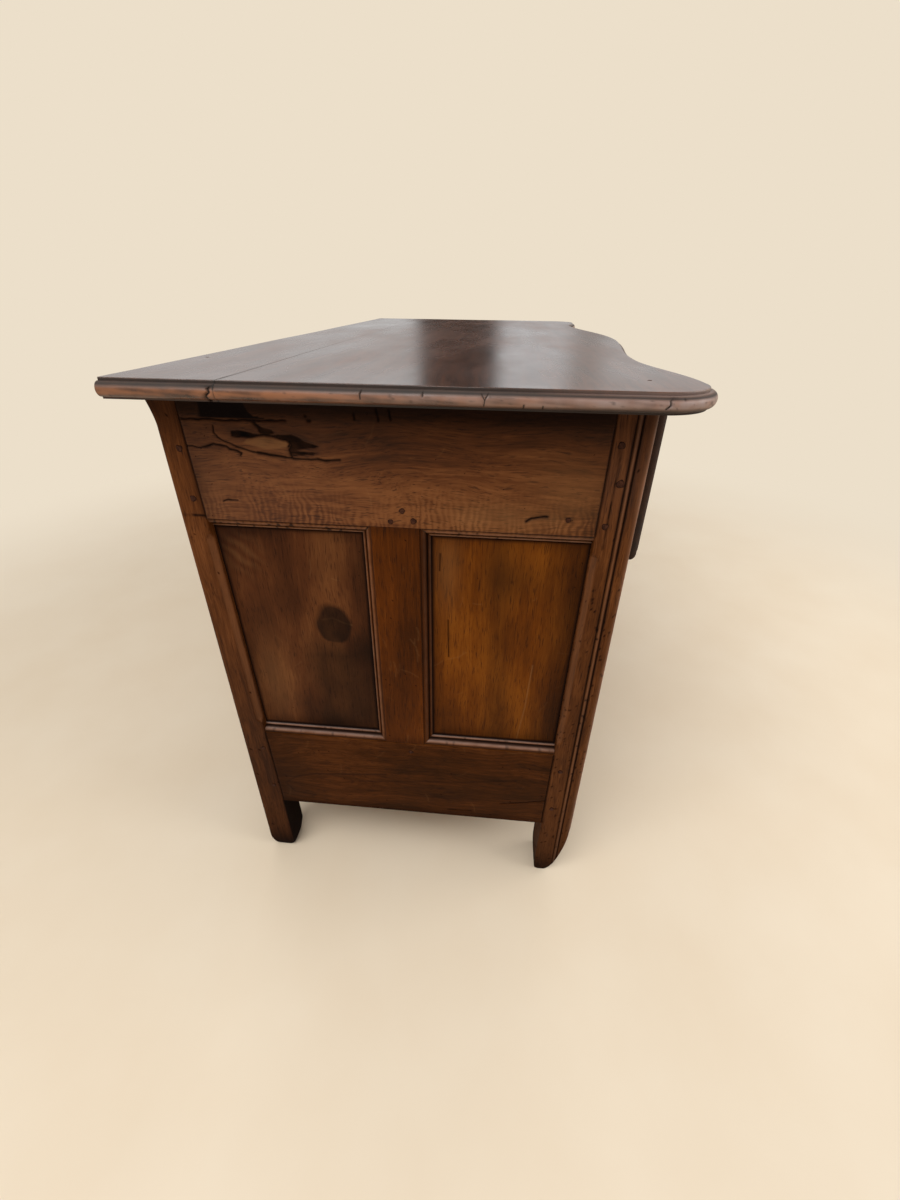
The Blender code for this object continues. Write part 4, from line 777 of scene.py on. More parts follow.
TOP_RAIL_CRACKS = [
    (
        [(0.0310, 0.7747), (0.0571, 0.7753), (0.0814, 0.7746), (0.1135, 0.7754), (0.1489, 0.7760)],
        0.0011,
        0.0012,
    ),
    ([(0.0300, 0.7452), (0.0434, 0.7442), (0.0514, 0.7447)], 0.0010, 0.0009),
    (
        [(0.0514, 0.7447), (0.0617, 0.7489), (0.0672, 0.7474), (0.0763, 0.7466), (0.0791, 0.7434)],
        0.0013,
        0.0012,
    ),
    ([(0.0791, 0.7434), (0.0890, 0.7410), (0.0921, 0.7394), (0.0905, 0.7371)], 0.0015, 0.0012),
    ([(0.0582, 0.6811), (0.0649, 0.6835), (0.0759, 0.6825)], 0.0011, 0.0010),
    ([(0.2248, 0.7859), (0.2251, 0.7792)], 0.0010, 0.0008),
    ([(0.2493, 0.7917), (0.2507, 0.7782)], 0.0011, 0.0010),
    ([(0.2624, 0.7904), (0.2646, 0.7804)], 0.0011, 0.0010),
    ([(0.4156, 0.6723), (0.4220, 0.6769), (0.4393, 0.6798)], 0.0017, 0.0015),
    ([(0.4635, 0.6768), (0.4650, 0.6760)], 0.0018, 0.0015),
    ([(0.1718, 0.7818), (0.1720, 0.7815)], 0.0014, 0.0006),
    ([(0.1740, 0.7768), (0.1760, 0.7768)], 0.0018, 0.0006),
]
FAR_RAIL_CRACKS = [([(0.10, 0.70), (0.16, 0.702), (0.21, 0.699)], 0.0010, 0.0008)]
LOW_RAIL_CRACKS = [
    ([(0.4180, 0.1742), (0.4557, 0.1819), (0.4907, 0.1905)], 0.0011, 0.0006),
    ([(0.3300, 0.1480), (0.3700, 0.1500)], 0.0009, 0.0005),
]
# Dark lines of the grain round the cut end of a branch, low on the photographed end
LOW_RAIL_LOOP = [(0.2288, 0.2222), (0.1099, 0.2096), (0.0775, 0.2005), (0.0542, 0.1813), (0.0671, 0.1615)]
LOW_RAIL_LOOP += [(0.1030, 0.1560)]
LOW_RAIL_LINE = [(0.1839, 0.2008), (0.3565, 0.2192), (0.4390, 0.2327)]

# The bark grown into the photographed end: its split edges, the outlines of the black parts with their
# darkness, and the outline of the tan middle
BARK_EDGES = [
    (
        [(0.0652, 0.7679), (0.0647, 0.7615), (0.0681, 0.7562), (0.0763, 0.7516), (0.0878, 0.7465)],
        0.0010,
        0.0006,
    ),
    ([(0.0878, 0.7465), (0.1031, 0.7421), (0.1120, 0.7402)], 0.0012, 0.0008),
    ([(0.1120, 0.7402), (0.1255, 0.7382), (0.1425, 0.7365)], 0.0018, 0.0018),
    ([(0.1425, 0.7365), (0.1538, 0.7350), (0.1664, 0.7348), (0.1801, 0.7352)], 0.0013, 0.0010),
    ([(0.1802, 0.7354), (0.1880, 0.7340), (0.1960, 0.7343), (0.2052, 0.7358)], 0.0017, 0.0012),
    ([(0.1016, 0.7573), (0.1133, 0.7588), (0.1227, 0.7604), (0.1314, 0.7589)], 0.0012, 0.0010),
    (
        [(0.1314, 0.7589), (0.1401, 0.7567), (0.1467, 0.7556), (0.1501, 0.7520), (0.1478, 0.7481)],
        0.0012,
        0.0012,
    ),
    ([(0.1490, 0.7415), (0.1604, 0.7413), (0.1752, 0.7411)], 0.0012, 0.0010),
    ([(0.1130, 0.7747), (0.1166, 0.7701), (0.1193, 0.7665)], 0.0012, 0.0006),
    (
        [(0.1500, 0.7547), (0.1514, 0.7493), (0.1482, 0.7437), (0.1497, 0.7382), (0.1515, 0.7349)],
        0.0013,
        0.0012,
    ),
]
BARK_MASS = [(0.1318, 0.7610), (0.1442, 0.7609), (0.1533, 0.7617), (0.1597, 0.7593), (0.1658, 0.7552)]
BARK_MASS += [(0.1744, 0.7523), (0.1831, 0.7498), (0.1760, 0.7474), (0.1646, 0.7465), (0.1563, 0.7445)]
BARK_MASS += [(0.1618, 0.7431), (0.1754, 0.7430), (0.1810, 0.7421), (0.1727, 0.7396), (0.1601, 0.7391)]
BARK_MASS += [(0.1529, 0.7372), (0.1487, 0.7393), (0.1473, 0.7447), (0.1502, 0.7492), (0.1498, 0.7536)]
BARK_MASS += [(0.1445, 0.7561), (0.1358, 0.7579)]
BARK_PATCH = [(0.1097, 0.7751), (0.1158, 0.7716), (0.1218, 0.7682), (0.1315, 0.7658), (0.1355, 0.7628)]
BARK_PATCH += [(0.1272, 0.7603), (0.1183, 0.7611), (0.1159, 0.7664)]
BARK_LENS = [(0.0852, 0.7633), (0.0917, 0.7645), (0.0995, 0.7637), (0.1072, 0.7624), (0.1126, 0.7609)]
BARK_LENS += [(0.1204, 0.7607), (0.1109, 0.7582), (0.1003, 0.7568), (0.0900, 0.7564), (0.0844, 0.7573)]
BARK_TAN = [(0.1024, 0.7557), (0.1130, 0.7572), (0.1223, 0.7586), (0.1312, 0.7573), (0.1398, 0.7549)]
BARK_TAN += [(0.1465, 0.7540), (0.1499, 0.7509), (0.1454, 0.7474), (0.1359, 0.7454), (0.1220, 0.7444)]
BARK_TAN += [(0.1099, 0.7473), (0.0968, 0.7507)]
BARK_HOLES = [(BARK_MASS, 0.82), (BARK_PATCH, 0.76), (BARK_LENS, 0.93)]
BARK_HOLE_DEPTH = 0.0010


def within(across, height, outline):
    """How far each point lies inside an outline, less than 0 outside: its distance to the nearest side,
    with the sign of an odd or even number of sides crossed on the way up."""
    start = np.array(outline)
    end = np.roll(start, -1, axis=0)
    x = across[..., None]
    share = (x - start[:, 0]) / (end[:, 0] - start[:, 0])
    above = start[:, 1] + share * (end[:, 1] - start[:, 1]) > height[..., None]
    crossed = ((start[:, 0] > x) != (end[:, 0] > x)) & above
    return from_line(across, height, [*outline, outline[0]]) * np.where(crossed.sum(axis=-1) % 2, 1, -1)


def bark(from_back, z, points):
    """Depth, darkness, tan and halo of the bark: cracks along its edges, mottled black parts inside their
    outlines, and soft steps at the edge of the tan middle and round the black parts."""
    dent, dark = cracks(from_back, z, BARK_EDGES, 27)
    mottled = 0.16 * unevenness(points, 0.006, 57)
    halo = np.zeros_like(z)
    for outline, darkness in BARK_HOLES:
        inside = within(from_back, z, outline) + 0.0004 * unevenness(points, 0.004, 53)
        hole = ramp(inside / 0.0012 + 0.5)
        dark = np.maximum(dark, (darkness + mottled) * hole)
        dent = np.maximum(dent, BARK_HOLE_DEPTH * hole)
        halo = np.maximum(halo, 0.38 * ramp(1 + inside / 0.006))
    tan = ramp(within(from_back, z, BARK_TAN) / 0.0022 + 0.4) * (0.85 + 0.2 * unevenness(points, 0.010, 52))
    return dent, dark, ramp(0.36 * tan), ramp(halo * (1 - tan))


def overhang_shadow(z):
    """Painted shadow that the top's overhang casts: even for 24 mm, past a soft edge, and a bell of 50 mm."""
    below = UNDER_TOP - z
    return 0.45 / (1 + np.exp((below - 0.024) / 0.003)) + 0.46 * fade(below, 0.050)


def plane_marks(points, size, seed):
    """Hollows that a hand plane leaves, up to about a third of a millimetre deep."""
    return 0.00018 * (1 + unevenness(points, size, seed))


def end_rail(place, name, side, finish):
    """A rail between the posts: its section, face then moulding, is carried along Y between the tapering
    edges. Beside the muntin the moulding runs no further than the distance to the muntin's edge, which
    mitres it."""
    top = place == "top"
    near_top = top and side < 0
    outer_edge, sight, towards = RAIL_BOTTOM, SIGHT_BOTTOM, 1
    if top:
        outer_edge, sight, towards = UNDER_TOP - FIT_GAP, SIGHT_TOP, -1
    ease = eased(RAIL_EASE) * [1, towards] + [0, outer_edge]
    run, depth = stuck_moulding().T
    worked = np.stack([depth, sight + towards * run], axis=-1)
    edge = sight + towards * MOULDING_WIDTH
    spacing = VERY_FINE if near_top else FINE
    visible = resample(np.concatenate([ease, [(0.0, sight - towards * 0.0004)], worked]), spacing)
    section = np.concatenate([visible, [(FRAME_THICKNESS, edge), (FRAME_THICKNESS, outer_edge)]])
    plain_depth, z = section.T
    run = (z - sight) * towards
    start, end = front_inner(z) + FIT_GAP, back_inner(z) - FIT_GAP
    y = start + (end - start) * shares(end[0] - start[0], spacing)[:, None]
    room = np.clip(np.abs(y - MUNTIN_Y) - MUNTIN_HALF, 0, MOULDING_WIDTH)
    z = np.where(run > 0, sight + towards * np.minimum(run, room), z)
    points = np.stack([np.full_like(y, side * OUTER_X), y, z], axis=-1)

    from_back = BACK_Y - y
    face = np.broadcast_to(plain_depth < 1e-6, y.shape)
    lines = LOW_RAIL_CRACKS
    if top:
        lines = TOP_RAIL_CRACKS if near_top else FAR_RAIL_CRACKS
    dent, dark = cracks(from_back, z, lines, 21)
    end_gap = np.minimum(y - start, end - y)
    seam = fade(end_gap, 0.0016)
    depth = plain_depth + face * (dent + 0.0007 * seam + plane_marks(points, 0.035, 31 + side))
    depth = np.where(face, np.minimum(depth, MOULDING_DEPTH), depth)
    points[..., 0] = side * (OUTER_X - depth)

    wear, wax = moulding_marks(run, plain_depth)
    # Painted highlight on the moulding's crests, strongest on the bottom rail, which faces up
    rubbed = 1.3 + 0.6 * (from_back > 0.3) if top else 1.7
    wear = wear * (rubbed + 0.4 * unevenness(points, 0.008, 42))
    specks = np.clip(3 * unevenness(points * [1, 1, 0.3], 0.004, 46) - 1.3, 0, 0.85) * (run > 0)
    uneven = 0.5 + 0.5 * unevenness(points, 0.05, 41 + side)
    dirt = 0.45 * fade(end_gap, 0.012) * uneven
    grime = most(wax, specks if top else 0.6 * specks, 0.95 * seam * face, dirt)
    pale = figure = knot = np.zeros_like(y)
    crack = dark * face
    if top:
        # Painted shadow of the top's overhang
        grime = np.maximum(grime, overhang_shadow(z))
        patches = 0.6 + 0.5 * unevenness(points, 0.06, 55) + 0.4 * unevenness(points, 0.02, 56)
        figure = fade(z - SIGHT_TOP - 0.010, 0.026) * ramp(patches)
    else:
        grime = np.maximum(grime, 0.45 * fade(z - RAIL_BOTTOM, 0.014))
    if near_top:
        bark_dent, bark_dark, pale, halo = bark(from_back, z, points)
        points[..., 0] -= side * bark_dent * face
        crack = np.maximum(crack, bark_dark * face)
        stain_end = np.interp(z, [0.7772, 0.7800, 0.7840, 0.7920], [0.1324, 0.1170, 0.1125, 0.1090])
        stain = ramp((stain_end - from_back) / 0.004) * ramp((from_back - 0.040) / 0.015)
        grime = np.maximum(grime, stain * ramp((z - 0.7752) / 0.002))
        knot = np.maximum(halo, 0.32 * blot(from_back, z, (0.030, 0.71), (0.045, 0.07)))
        curly = 0.34 * blot(from_back, z, (0.400, 0.678), (0.070, 0.020)) * (0.4 + 0.6 * figure)
        pale = most(pale, curly, 0.14 * blot(from_back, z, (0.465, 0.705), (0.050, 0.040)))
    elif side < 0:
        loop = 0.75 * fade(from_line(from_back, z, LOW_RAIL_LOOP), 0.0018)
        line = 0.5 * fade(from_line(from_back, z, LOW_RAIL_LINE), 0.0018)
        knot = most(loop, line, 0.45 * blot(from_back, z, (0.045, 0.20), (0.05, 0.12)))
    corners = [(0.05, RAIL_BOTTOM), (0.49, SIGHT_BOTTOM)]
    if top:
        corners = [(0.04, SIGHT_TOP), (0.49, UNDER_TOP - 0.03)]
    pale = np.maximum(pale, scratches(from_back, z, *corners, 16, 63 + 2 * side + top) * face)
    crack = np.maximum(crack, worm_holes(face & (end_gap > 0.004), 16, 61 + 2 * side + top))
    # Painted grey sheen: faint on the near top rail, on the crests of the bottom rail
    painted_haze = 0.05 * (side < 0) * fade(from_back - 0.10, 0.15) * face if top else 0.45 * wear
    marks = {"grime": grime, "wear": wear, "polish": wear, "crack": crack, "bloom": painted_haze}
    shell = tube(points, pale=pale, figure=figure, knot=knot, **marks)
    node = f"end_{place}_rail_{name}"
    add_piece(f"{node}_wood", [shell], finish, node)


def end_muntin(name, side):
    """The muntin: face and both mouldings, carried upwards. Each line of the moulding stops at its own
    mitre, at the sight line of the rail plus or minus its run."""
    run, depth = stuck_moulding().T
    right = np.stack([depth, MUNTIN_HALF + run], axis=-1)
    across = resample([(0.0, -MUNTIN_HALF + 0.0004), (0.0, MUNTIN_HALF - 0.0004)], FINE)
    edge = MUNTIN_HALF + MOULDING_WIDTH
    behind = [(FRAME_THICKNESS, edge), (FRAME_THICKNESS, -edge)]
    plain_depth, offset = np.concatenate([right[::-1] * [1, -1], across, right, behind]).T
    run = np.clip(np.abs(offset) - MUNTIN_HALF, 0, MOULDING_WIDTH)
    low, high = SIGHT_BOTTOM - FIT_GAP + run, SIGHT_TOP + FIT_GAP - run
    z = low + (high - low) * shares(SIGHT_TOP - SIGHT_BOTTOM, FINE)[:, None]
    y = np.broadcast_to(MUNTIN_Y + offset, z.shape)
    points = np.stack([np.zeros_like(z), y, z], axis=-1)
    face = np.broadcast_to(plain_depth < 1e-6, z.shape)
    end_gap = np.minimum(z - low, high - z)
    seam = fade(end_gap, 0.0011)
    depth = plain_depth + face * (0.0007 * seam + plane_marks(points, 0.035, 33 + side))
    points[..., 0] = side * (OUTER_X - depth)
    wear, wax = moulding_marks(run, plain_depth)
    # Painted shade: the moulding on the front side is darker and its crests less lightened
    front_moulding_in_shade = offset < -MUNTIN_HALF
    wear = wear * (1.25 + 0.4 * unevenness(points, 0.008, 44)) * np.where(front_moulding_in_shade, 0.35, 1.0)
    grime = most(wax, 0.75 * seam * face, 0.40 * front_moulding_in_shade, 0.4 * fade(end_gap, 0.012))
    crack = worm_holes(face & (end_gap > 0.004), 8, 71 + side)
    middle = BACK_Y - MUNTIN_Y
    corners = ((middle - MUNTIN_HALF, SIGHT_BOTTOM), (middle + MUNTIN_HALF, SIGHT_TOP - 0.05))
    pale = scratches(BACK_Y - y, z, *corners, 14, 75 + side) * face
    shell = tube(points, grime=grime, wear=wear, polish=wear, crack=crack, pale=pale)
    node = f"end_muntin_{name}"
    add_piece(f"{node}_wood", [shell], MUNTIN_WOOD, node)


def knotty(from_back, z, points):
    """Dark and pale of the photographed back panel: an oval knot with a firm edge and splits, a dark stain
    running down from it, dark clouds beside and below it, and curly figure in the upper corner."""
    radius = np.hypot((from_back - 0.1687) / 0.0255, (z - 0.503) / 0.0335)
    radius = radius * (1 + 0.14 * unevenness(points, 0.016, 38))
    knot = 0.94 * ramp((1.14 - radius) / 0.30) * (0.92 + 0.08 * unevenness(points, 0.010, 34))
    run_down = fade(from_back - 0.166, 0.020) * ramp((0.505 - z) / 0.03) * ramp((z - 0.33) / 0.12)
    clouds = 0.36 * blot(from_back, z, (0.112, 0.545), (0.030, 0.045))
    clouds += 0.30 * blot(from_back, z, (0.212, 0.53), (0.020, 0.10))
    clouds += 0.22 * blot(from_back, z, (0.172, 0.60), (0.03, 0.04))
    edge = from_back - 0.096 - 0.15 * (z - 0.32) - 0.006 * unevenness(points, 0.06, 40)
    clouds += ramp(edge / 0.036) * ramp((0.51 - z) / 0.06)
    clouds = ramp(clouds) * (0.78 + 0.10 * unevenness(points, 0.03, 39))
    splits = [(0.1545, 0.5116), (0.1684, 0.5154), (0.1843, 0.5079), (0.1941, 0.5055)]
    split = 0.30 * fade(from_line(from_back, z, splits), 0.0011)
    curl = 0.5 + 0.5 * np.sin((0.8 * from_back + z) / 0.0034 + 2.2 * unevenness(points, 0.014, 36))
    curl = 0.11 * curl * blot(from_back, z, (0.058, 0.606), (0.026, 0.026))
    light = 0.12 * blot(from_back, z, (0.070, 0.40), (0.030, 0.075))
    return most(knot, 0.60 * run_down, clouds), most(split, curl, light)


def streaky(from_back, z):
    """Dark and pale of the photographed front panel: a dark streak down its middle, a dark side to the
    post, a dimple, two short black cracks at the muntin and one long pale scratch."""
    middle = np.interp(z, [0.330, 0.478, 0.599], [0.402, 0.397, 0.388])
    dark = 0.36 * fade(from_back - middle, 0.019) + 0.50 * ramp((from_back - 0.440) / 0.040)
    dark = dark + 0.22 * ramp((0.43 - z) / 0.10)
    dark = dark + 0.42 * blot(from_back, z, (0.412, 0.590), (0.045, 0.034))
    dark = np.maximum(dark, 0.8 * blot(from_back, z, (0.4063, 0.5858), (0.004, 0.006)))
    upper = from_line(from_back, z, [(0.3160, 0.6205), (0.3151, 0.5969)])
    lower = from_line(from_back, z, [(0.3266, 0.5233), (0.3279, 0.4626)])
    scratch = from_line(from_back, z, [(0.4445, 0.4565), (0.4406, 0.3789), (0.4329, 0.3085)])
    pale = np.maximum(0.25 * fade(scratch, 0.0009), 0.14 * blot(from_back, z, (0.325, 0.60), (0.016, 0.06)))
    return dark, pale, 0.9 * fade(np.minimum(upper, lower), 0.0010)


def end_panel(place, name, side, finish):
    """A flat panel in its grooves: a thin board between the post's slanting edge and the muntin's straight
    one."""
    low = SIGHT_BOTTOM + MOULDING_WIDTH - PANEL_INTO
    high = SIGHT_TOP - MOULDING_WIDTH + PANEL_INTO
    spacing = VERY_FINE if side < 0 else MIDDLING
    face_z = resample([(0.0, low), (0.0, high)], spacing)[:, 1]
    depth = np.concatenate([np.full(len(face_z), PANEL_DEPTH), [PANEL_DEPTH + PANEL_THICKNESS] * 2])
    z = np.concatenate([face_z, [high, low]])
    from_middle = MUNTIN_HALF + MOULDING_WIDTH - PANEL_INTO
    if place == "front":
        start, end = front_inner(z) - PANEL_INTO, np.full_like(z, MUNTIN_Y - from_middle)
    else:
        start, end = np.full_like(z, MUNTIN_Y + from_middle), back_inner(z) + PANEL_INTO
    y = start + (end - start) * shares(0.2, spacing)[:, None]
    z = np.broadcast_to(z, y.shape)
    points = np.stack([np.zeros_like(y), y, z], axis=-1)
    face = np.broadcast_to(depth < PANEL_DEPTH + 1e-6, y.shape)
    depth = depth + face * 0.00025 * (1 + unevenness(points, 0.05, 35 + side))
    points[..., 0] = side * (OUTER_X - depth)
    inset = np.minimum(np.minimum(y - start, end - y), np.minimum(z - low, high - z)) - PANEL_INTO
    uneven = 0.5 + 0.5 * unevenness(points, 0.05, 37 + side)
    edge = np.clip(inset, 0, None)
    # Painted shade round the panel's edges under the frame: darkest at the groove, fading unevenly over 16 mm
    grime = np.maximum(0.95 * fade(edge, 0.0045), 0.6 * fade(edge, 0.016) * uneven)
    knot = pale = dark = np.zeros_like(y)
    from_back = BACK_Y - y
    if place == "back" and side < 0:
        knot, pale = knotty(from_back, z, points)
    if place == "front" and side < 0:
        knot, pale, dark = streaky(from_back, z)
    crack = np.maximum(worm_holes(face & (inset > 0.004), 7, 81 + side), dark)
    corners = ((from_back.min(), SIGHT_BOTTOM), (from_back.max(), SIGHT_TOP - 0.05))
    pale = np.maximum(pale, scratches(from_back, z, *corners, 14, 85 + side + (place == "front")) * face)
    shell = tube(points, grime=grime, knot=knot, pale=pale, crack=crack)
    node = f"end_panel_{place}_{name}"
    add_piece(f"{node}_wood", [shell], finish, node)


for end_name, end_side in SIDES.items():
    end_rail("top", end_name, end_side, RAIL_WOOD)
    end_rail("bottom", end_name, end_side, LOW_RAIL_WOOD)
    end_muntin(end_name, end_side)
    end_panel("back", end_name, end_side, BACK_PANEL_WOOD)
    end_panel("front", end_name, end_side, FRONT_PANEL_WOOD)


# Posts

CHAMFER_LOW, CHAMFER_HIGH = SIGHT_BOTTOM + CHAMFER_FROM_RAIL, SIGHT_TOP - CHAMFER_FROM_RAIL
BACK_POST_EASE = 0.003
POST_FINENESS = 0.002
SOFTENED_ARRIS = 0.0012


def run_bead():
    """(along the face, depth) of the bead between two quirks."""
    middle = BEAD_FROM_CORNER + BEAD_WIDTH / 2
    quirk = QUIRK_WIDTH / 2
    angle = np.linspace(0, math.pi, 13)[1:-1]
    along = middle - (BEAD_WIDTH / 2 - quirk) * np.cos(angle)
    crown = np.stack([along, QUIRK_DEPTH * (1 - np.sin(angle))], axis=-1)
    end = BEAD_FROM_CORNER + BEAD_WIDTH
    near = [(BEAD_FROM_CORNER - quirk, 0.0), (BEAD_FROM_CORNER, QUIRK_DEPTH)]
    return np.concatenate([near, crown, [(end, QUIRK_DEPTH), (end + quirk, 0.0)]])


def post_heights():
    """Heights of the stations up a post, close together at the chamfer's stops and near the floor."""
    low_stop = np.linspace(CHAMFER_LOW - 0.001, CHAMFER_LOW + CHAMFER_STOP, 8)
    high_stop = np.linspace(CHAMFER_HIGH - CHAMFER_STOP, CHAMFER_HIGH + 0.001, 8)
    foot = FOOT_EASE * np.array([0.01, 0.03, 0.06, 0.1, 0.15, 0.2, 0.3, 0.4, 0.55, 0.7, 0.85])
    even = np.linspace(0, UNDER_TOP - FIT_GAP, 270)
    return np.unique(np.concatenate([even, foot, low_stop, high_stop]))[:, None]


def chamfered(depth, inside, z):
    """Moves points of the inner arris back to the chamfer's sloping plane: by half of what they stand
    beyond it."""
    size = CHAMFER * ramp(np.minimum(z - CHAMFER_LOW, CHAMFER_HIGH - z) / CHAMFER_STOP)
    size = np.maximum(size, SOFTENED_ARRIS)
    beyond = np.clip(size - depth - inside, 0, None) / 2
    return depth + beyond, inside + beyond, ramp(beyond / 0.002) * (size > 0.002)


def worn_foot(depth, width, low, high, thickness, z, draw):
    """Draws a foot in near the floor: its sides follow a quarter ellipse, and its corners round off towards
    a superellipse of the power 5. Low and high are the section's edges in width, draw the most it draws
    in."""
    near = ramp(1 - z / FOOT_EASE)
    inset = draw * (1 - np.sqrt(1 - near**2))
    half_depth, half_width = thickness / 2, (high - low) / 2
    u = depth / half_depth - 1
    v = (width - low) / half_width - 1
    corner = np.maximum((np.abs(u) ** 5 + np.abs(v) ** 5) ** 0.2, 1.0)
    rounding = 1 + near * (draw / BACK_FOOT_DRAW) * (1 / corner - 1)
    width = low + half_width + v * rounding * (half_width - inset)
    return half_depth + u * rounding * (half_depth - inset), width


FRONT_POST_CRACKS = [([(0.5064, 0.7607), (0.5072, 0.703), (0.5064, 0.6423)], 0.0009, 0.0010)]
BACK_POST_CRACKS = [([(0.0, 0.6605), (0.015, 0.661), (0.031, 0.6615)], 0.0009, 0.0008)]


def post_dirt_and_shade(height, inside, seam, rising, reach):
    """Dirt and shade of a post: dirt in the seams beside the end rails, darker from the floor up as two
    bells, and painted shadow under the top."""
    at_rails = (height > SIGHT_TOP) | ((height < SIGHT_BOTTOM) & (height > RAIL_BOTTOM))
    low_darkening = 0.32 * fade(height, 0.04) + rising * fade(height, reach)
    return most(seam * fade(inside, 0.0012) * at_rails, low_darkening, 0.45 * overhang_shadow(height))


def front_post(name, side):
    """A front post: its beaded section carried up the taper, its front cut back to the toe's curve, set
    back times the power 2.4 of the height left to the toe's start."""
    bead = run_bead()
    corner = arc((POST_ARRIS, POST_ARRIS), POST_ARRIS, 180, 270, 8)
    inner = FRONT_HEAD_WIDTH
    back = [(FRONT_POST_THICKNESS, inner), (0.0, inner)]
    front = [(FRONT_POST_THICKNESS, 0.0), (FRONT_POST_THICKNESS, inner)]
    outline = np.concatenate([back, bead[::-1, ::-1], corner, bead, front])
    section = resample(outline, POST_FINENESS)[:-1]
    z = post_heights()
    depth, width = (np.repeat(column[None], len(z), axis=0) for column in section.T)
    plain_from = BEAD_FROM_CORNER + BEAD_WIDTH + QUIRK_WIDTH
    stretch = ramp((width - plain_from) / (inner - plain_from))
    inner_edge = front_inner(z) - FRONT_Y
    width = width + stretch * (inner_edge - inner)
    depth, inside, cut = chamfered(depth, inner_edge - width, z)
    toe = TOE_SET_BACK * ramp(1 - z / TOE_HEIGHT) ** TOE_ROUNDNESS
    width = np.maximum(inner_edge - inside, toe)
    end_face = np.broadcast_to(section[:, 0] < QUIRK_DEPTH + 1e-6, width.shape)
    front_face = np.broadcast_to(section[:, 1] < QUIRK_DEPTH + 1e-6, width.shape)
    height = np.broadcast_to(z, width.shape)
    points = np.stack([depth, width, height], axis=-1)
    dent, dark = cracks(BACK_Y - FRONT_Y - width, height, FRONT_POST_CRACKS, 23)
    flat_end = end_face & (section[:, 1] > plain_from)
    hollow = plane_marks(points, 0.04, 43 + side)
    depth = depth + end_face * (dent * flat_end + hollow)
    width = width + front_face * hollow
    depth, width = worn_foot(depth, width, toe, inner_edge, FRONT_POST_THICKNESS, z, FRONT_FOOT_DRAW)
    points = np.stack([side * (OUTER_X - depth), FRONT_Y + width, height], axis=-1)

    along = np.where(end_face, section[:, 1], np.where(front_face, section[:, 0], 1.0)) - BEAD_FROM_CORNER
    quirk = fade(along, 0.0015) + fade(along - BEAD_WIDTH, 0.0015)
    # The post's dirt with the painted shadow under the top
    dirt = post_dirt_and_shade(height, inner_edge - width, 0.9 * flat_end, 0.52, 0.24)
    grime = np.maximum(0.95 * quirk * (end_face | front_face), dirt)
    arris = fade(np.hypot(section[:, 0] - 0.0015, section[:, 1] - 0.0015), 0.0035)
    wear = ramp(0.6 * arris[None] * (0.6 + 0.5 * unevenness(points, 0.03, 45)))
    # The bead's crest lightened as a painted highlight
    wear = most(wear, 0.18 * cut, 0.3 * fade(along - BEAD_WIDTH / 2, 0.0014))
    nicks = np.clip(5 * unevenness(points * [1, 1, 1.6], 0.0045, 93) - 3.6, 0, 0.85) * (height < 0.60)
    crack = most(dark * flat_end, nicks, worm_holes(end_face | front_face, 40, 91 + side))
    # Painted grey sheen on the post's head
    painted_haze = 0.05 * ramp((height - 0.64) / 0.08)
    shell = tube(points, grime=grime, wear=wear, polish=0.8 * wear, crack=crack, bloom=painted_haze)
    node = f"front_post_{name}"
    add_piece(f"{node}_wood", [shell], FRONT_POST_WOOD, node)


def back_post(name, side):
    """A back post: a plain section carried up the taper, wider where its outer edge flares under the
    top."""
    ease, head = BACK_POST_EASE, BACK_HEAD_WIDTH
    outer_side = [(BACK_POST_THICKNESS, 0.0), (BACK_POST_THICKNESS, head)]
    outline = np.concatenate([[(BACK_POST_THICKNESS, head), (0.0, head)], eased(ease)[::-1], outer_side])
    section = resample(outline, POST_FINENESS)[:-1]
    z = post_heights()
    depth = np.repeat(section[None, :, 0], len(z), axis=0)
    share = ramp((section[:, 1] - ease) / (head - ease))[None]
    outer, inner = back_outer(z), back_inner(z)
    total = outer - inner
    inside = np.where(share > 0, (total - ease) * (1 - share), total - section[None, :, 1])
    depth, inside, cut = chamfered(depth, inside, z)
    y = inner + inside
    end_face = np.broadcast_to(section[:, 0] < 1e-6, y.shape)
    height = np.broadcast_to(z, y.shape)
    points = np.stack([depth, y, height], axis=-1)
    dent, dark = cracks(BACK_Y - y, height, BACK_POST_CRACKS, 25)
    depth = depth + end_face * (dent + plane_marks(points, 0.04, 47 + side))
    depth, y = worn_foot(depth, y, inner, outer, BACK_POST_THICKNESS, z, BACK_FOOT_DRAW)
    points = np.stack([side * (OUTER_X - depth), y, height], axis=-1)
    # Painted shade: the foot's inner face below the rail near black; the post's dirt includes the shadow
    # under the top
    inner_foot_shade = 0.97 * (inside < 0.001) * (height < RAIL_BOTTOM)
    grime = np.maximum(post_dirt_and_shade(height, inside, 0.8 * end_face, 0.64, 0.28), inner_foot_shade)
    # The chamfer lightened as a painted highlight of a bevel lit from the back; the outer arris rubbed
    wear = np.maximum(0.36 * cut, 0.3 * fade(total - inside, 0.003) * end_face)
    crack = np.maximum(dark * end_face, worm_holes(end_face, 12, 95 + side))
    shell = tube(points, grime=grime, wear=wear, crack=crack)
    node = f"back_post_{name}"
    add_piece(f"{node}_wood", [shell], BACK_POST_WOOD, node)


for end_name, end_side in SIDES.items():
    front_post(end_name, end_side)
    back_post(end_name, end_side)


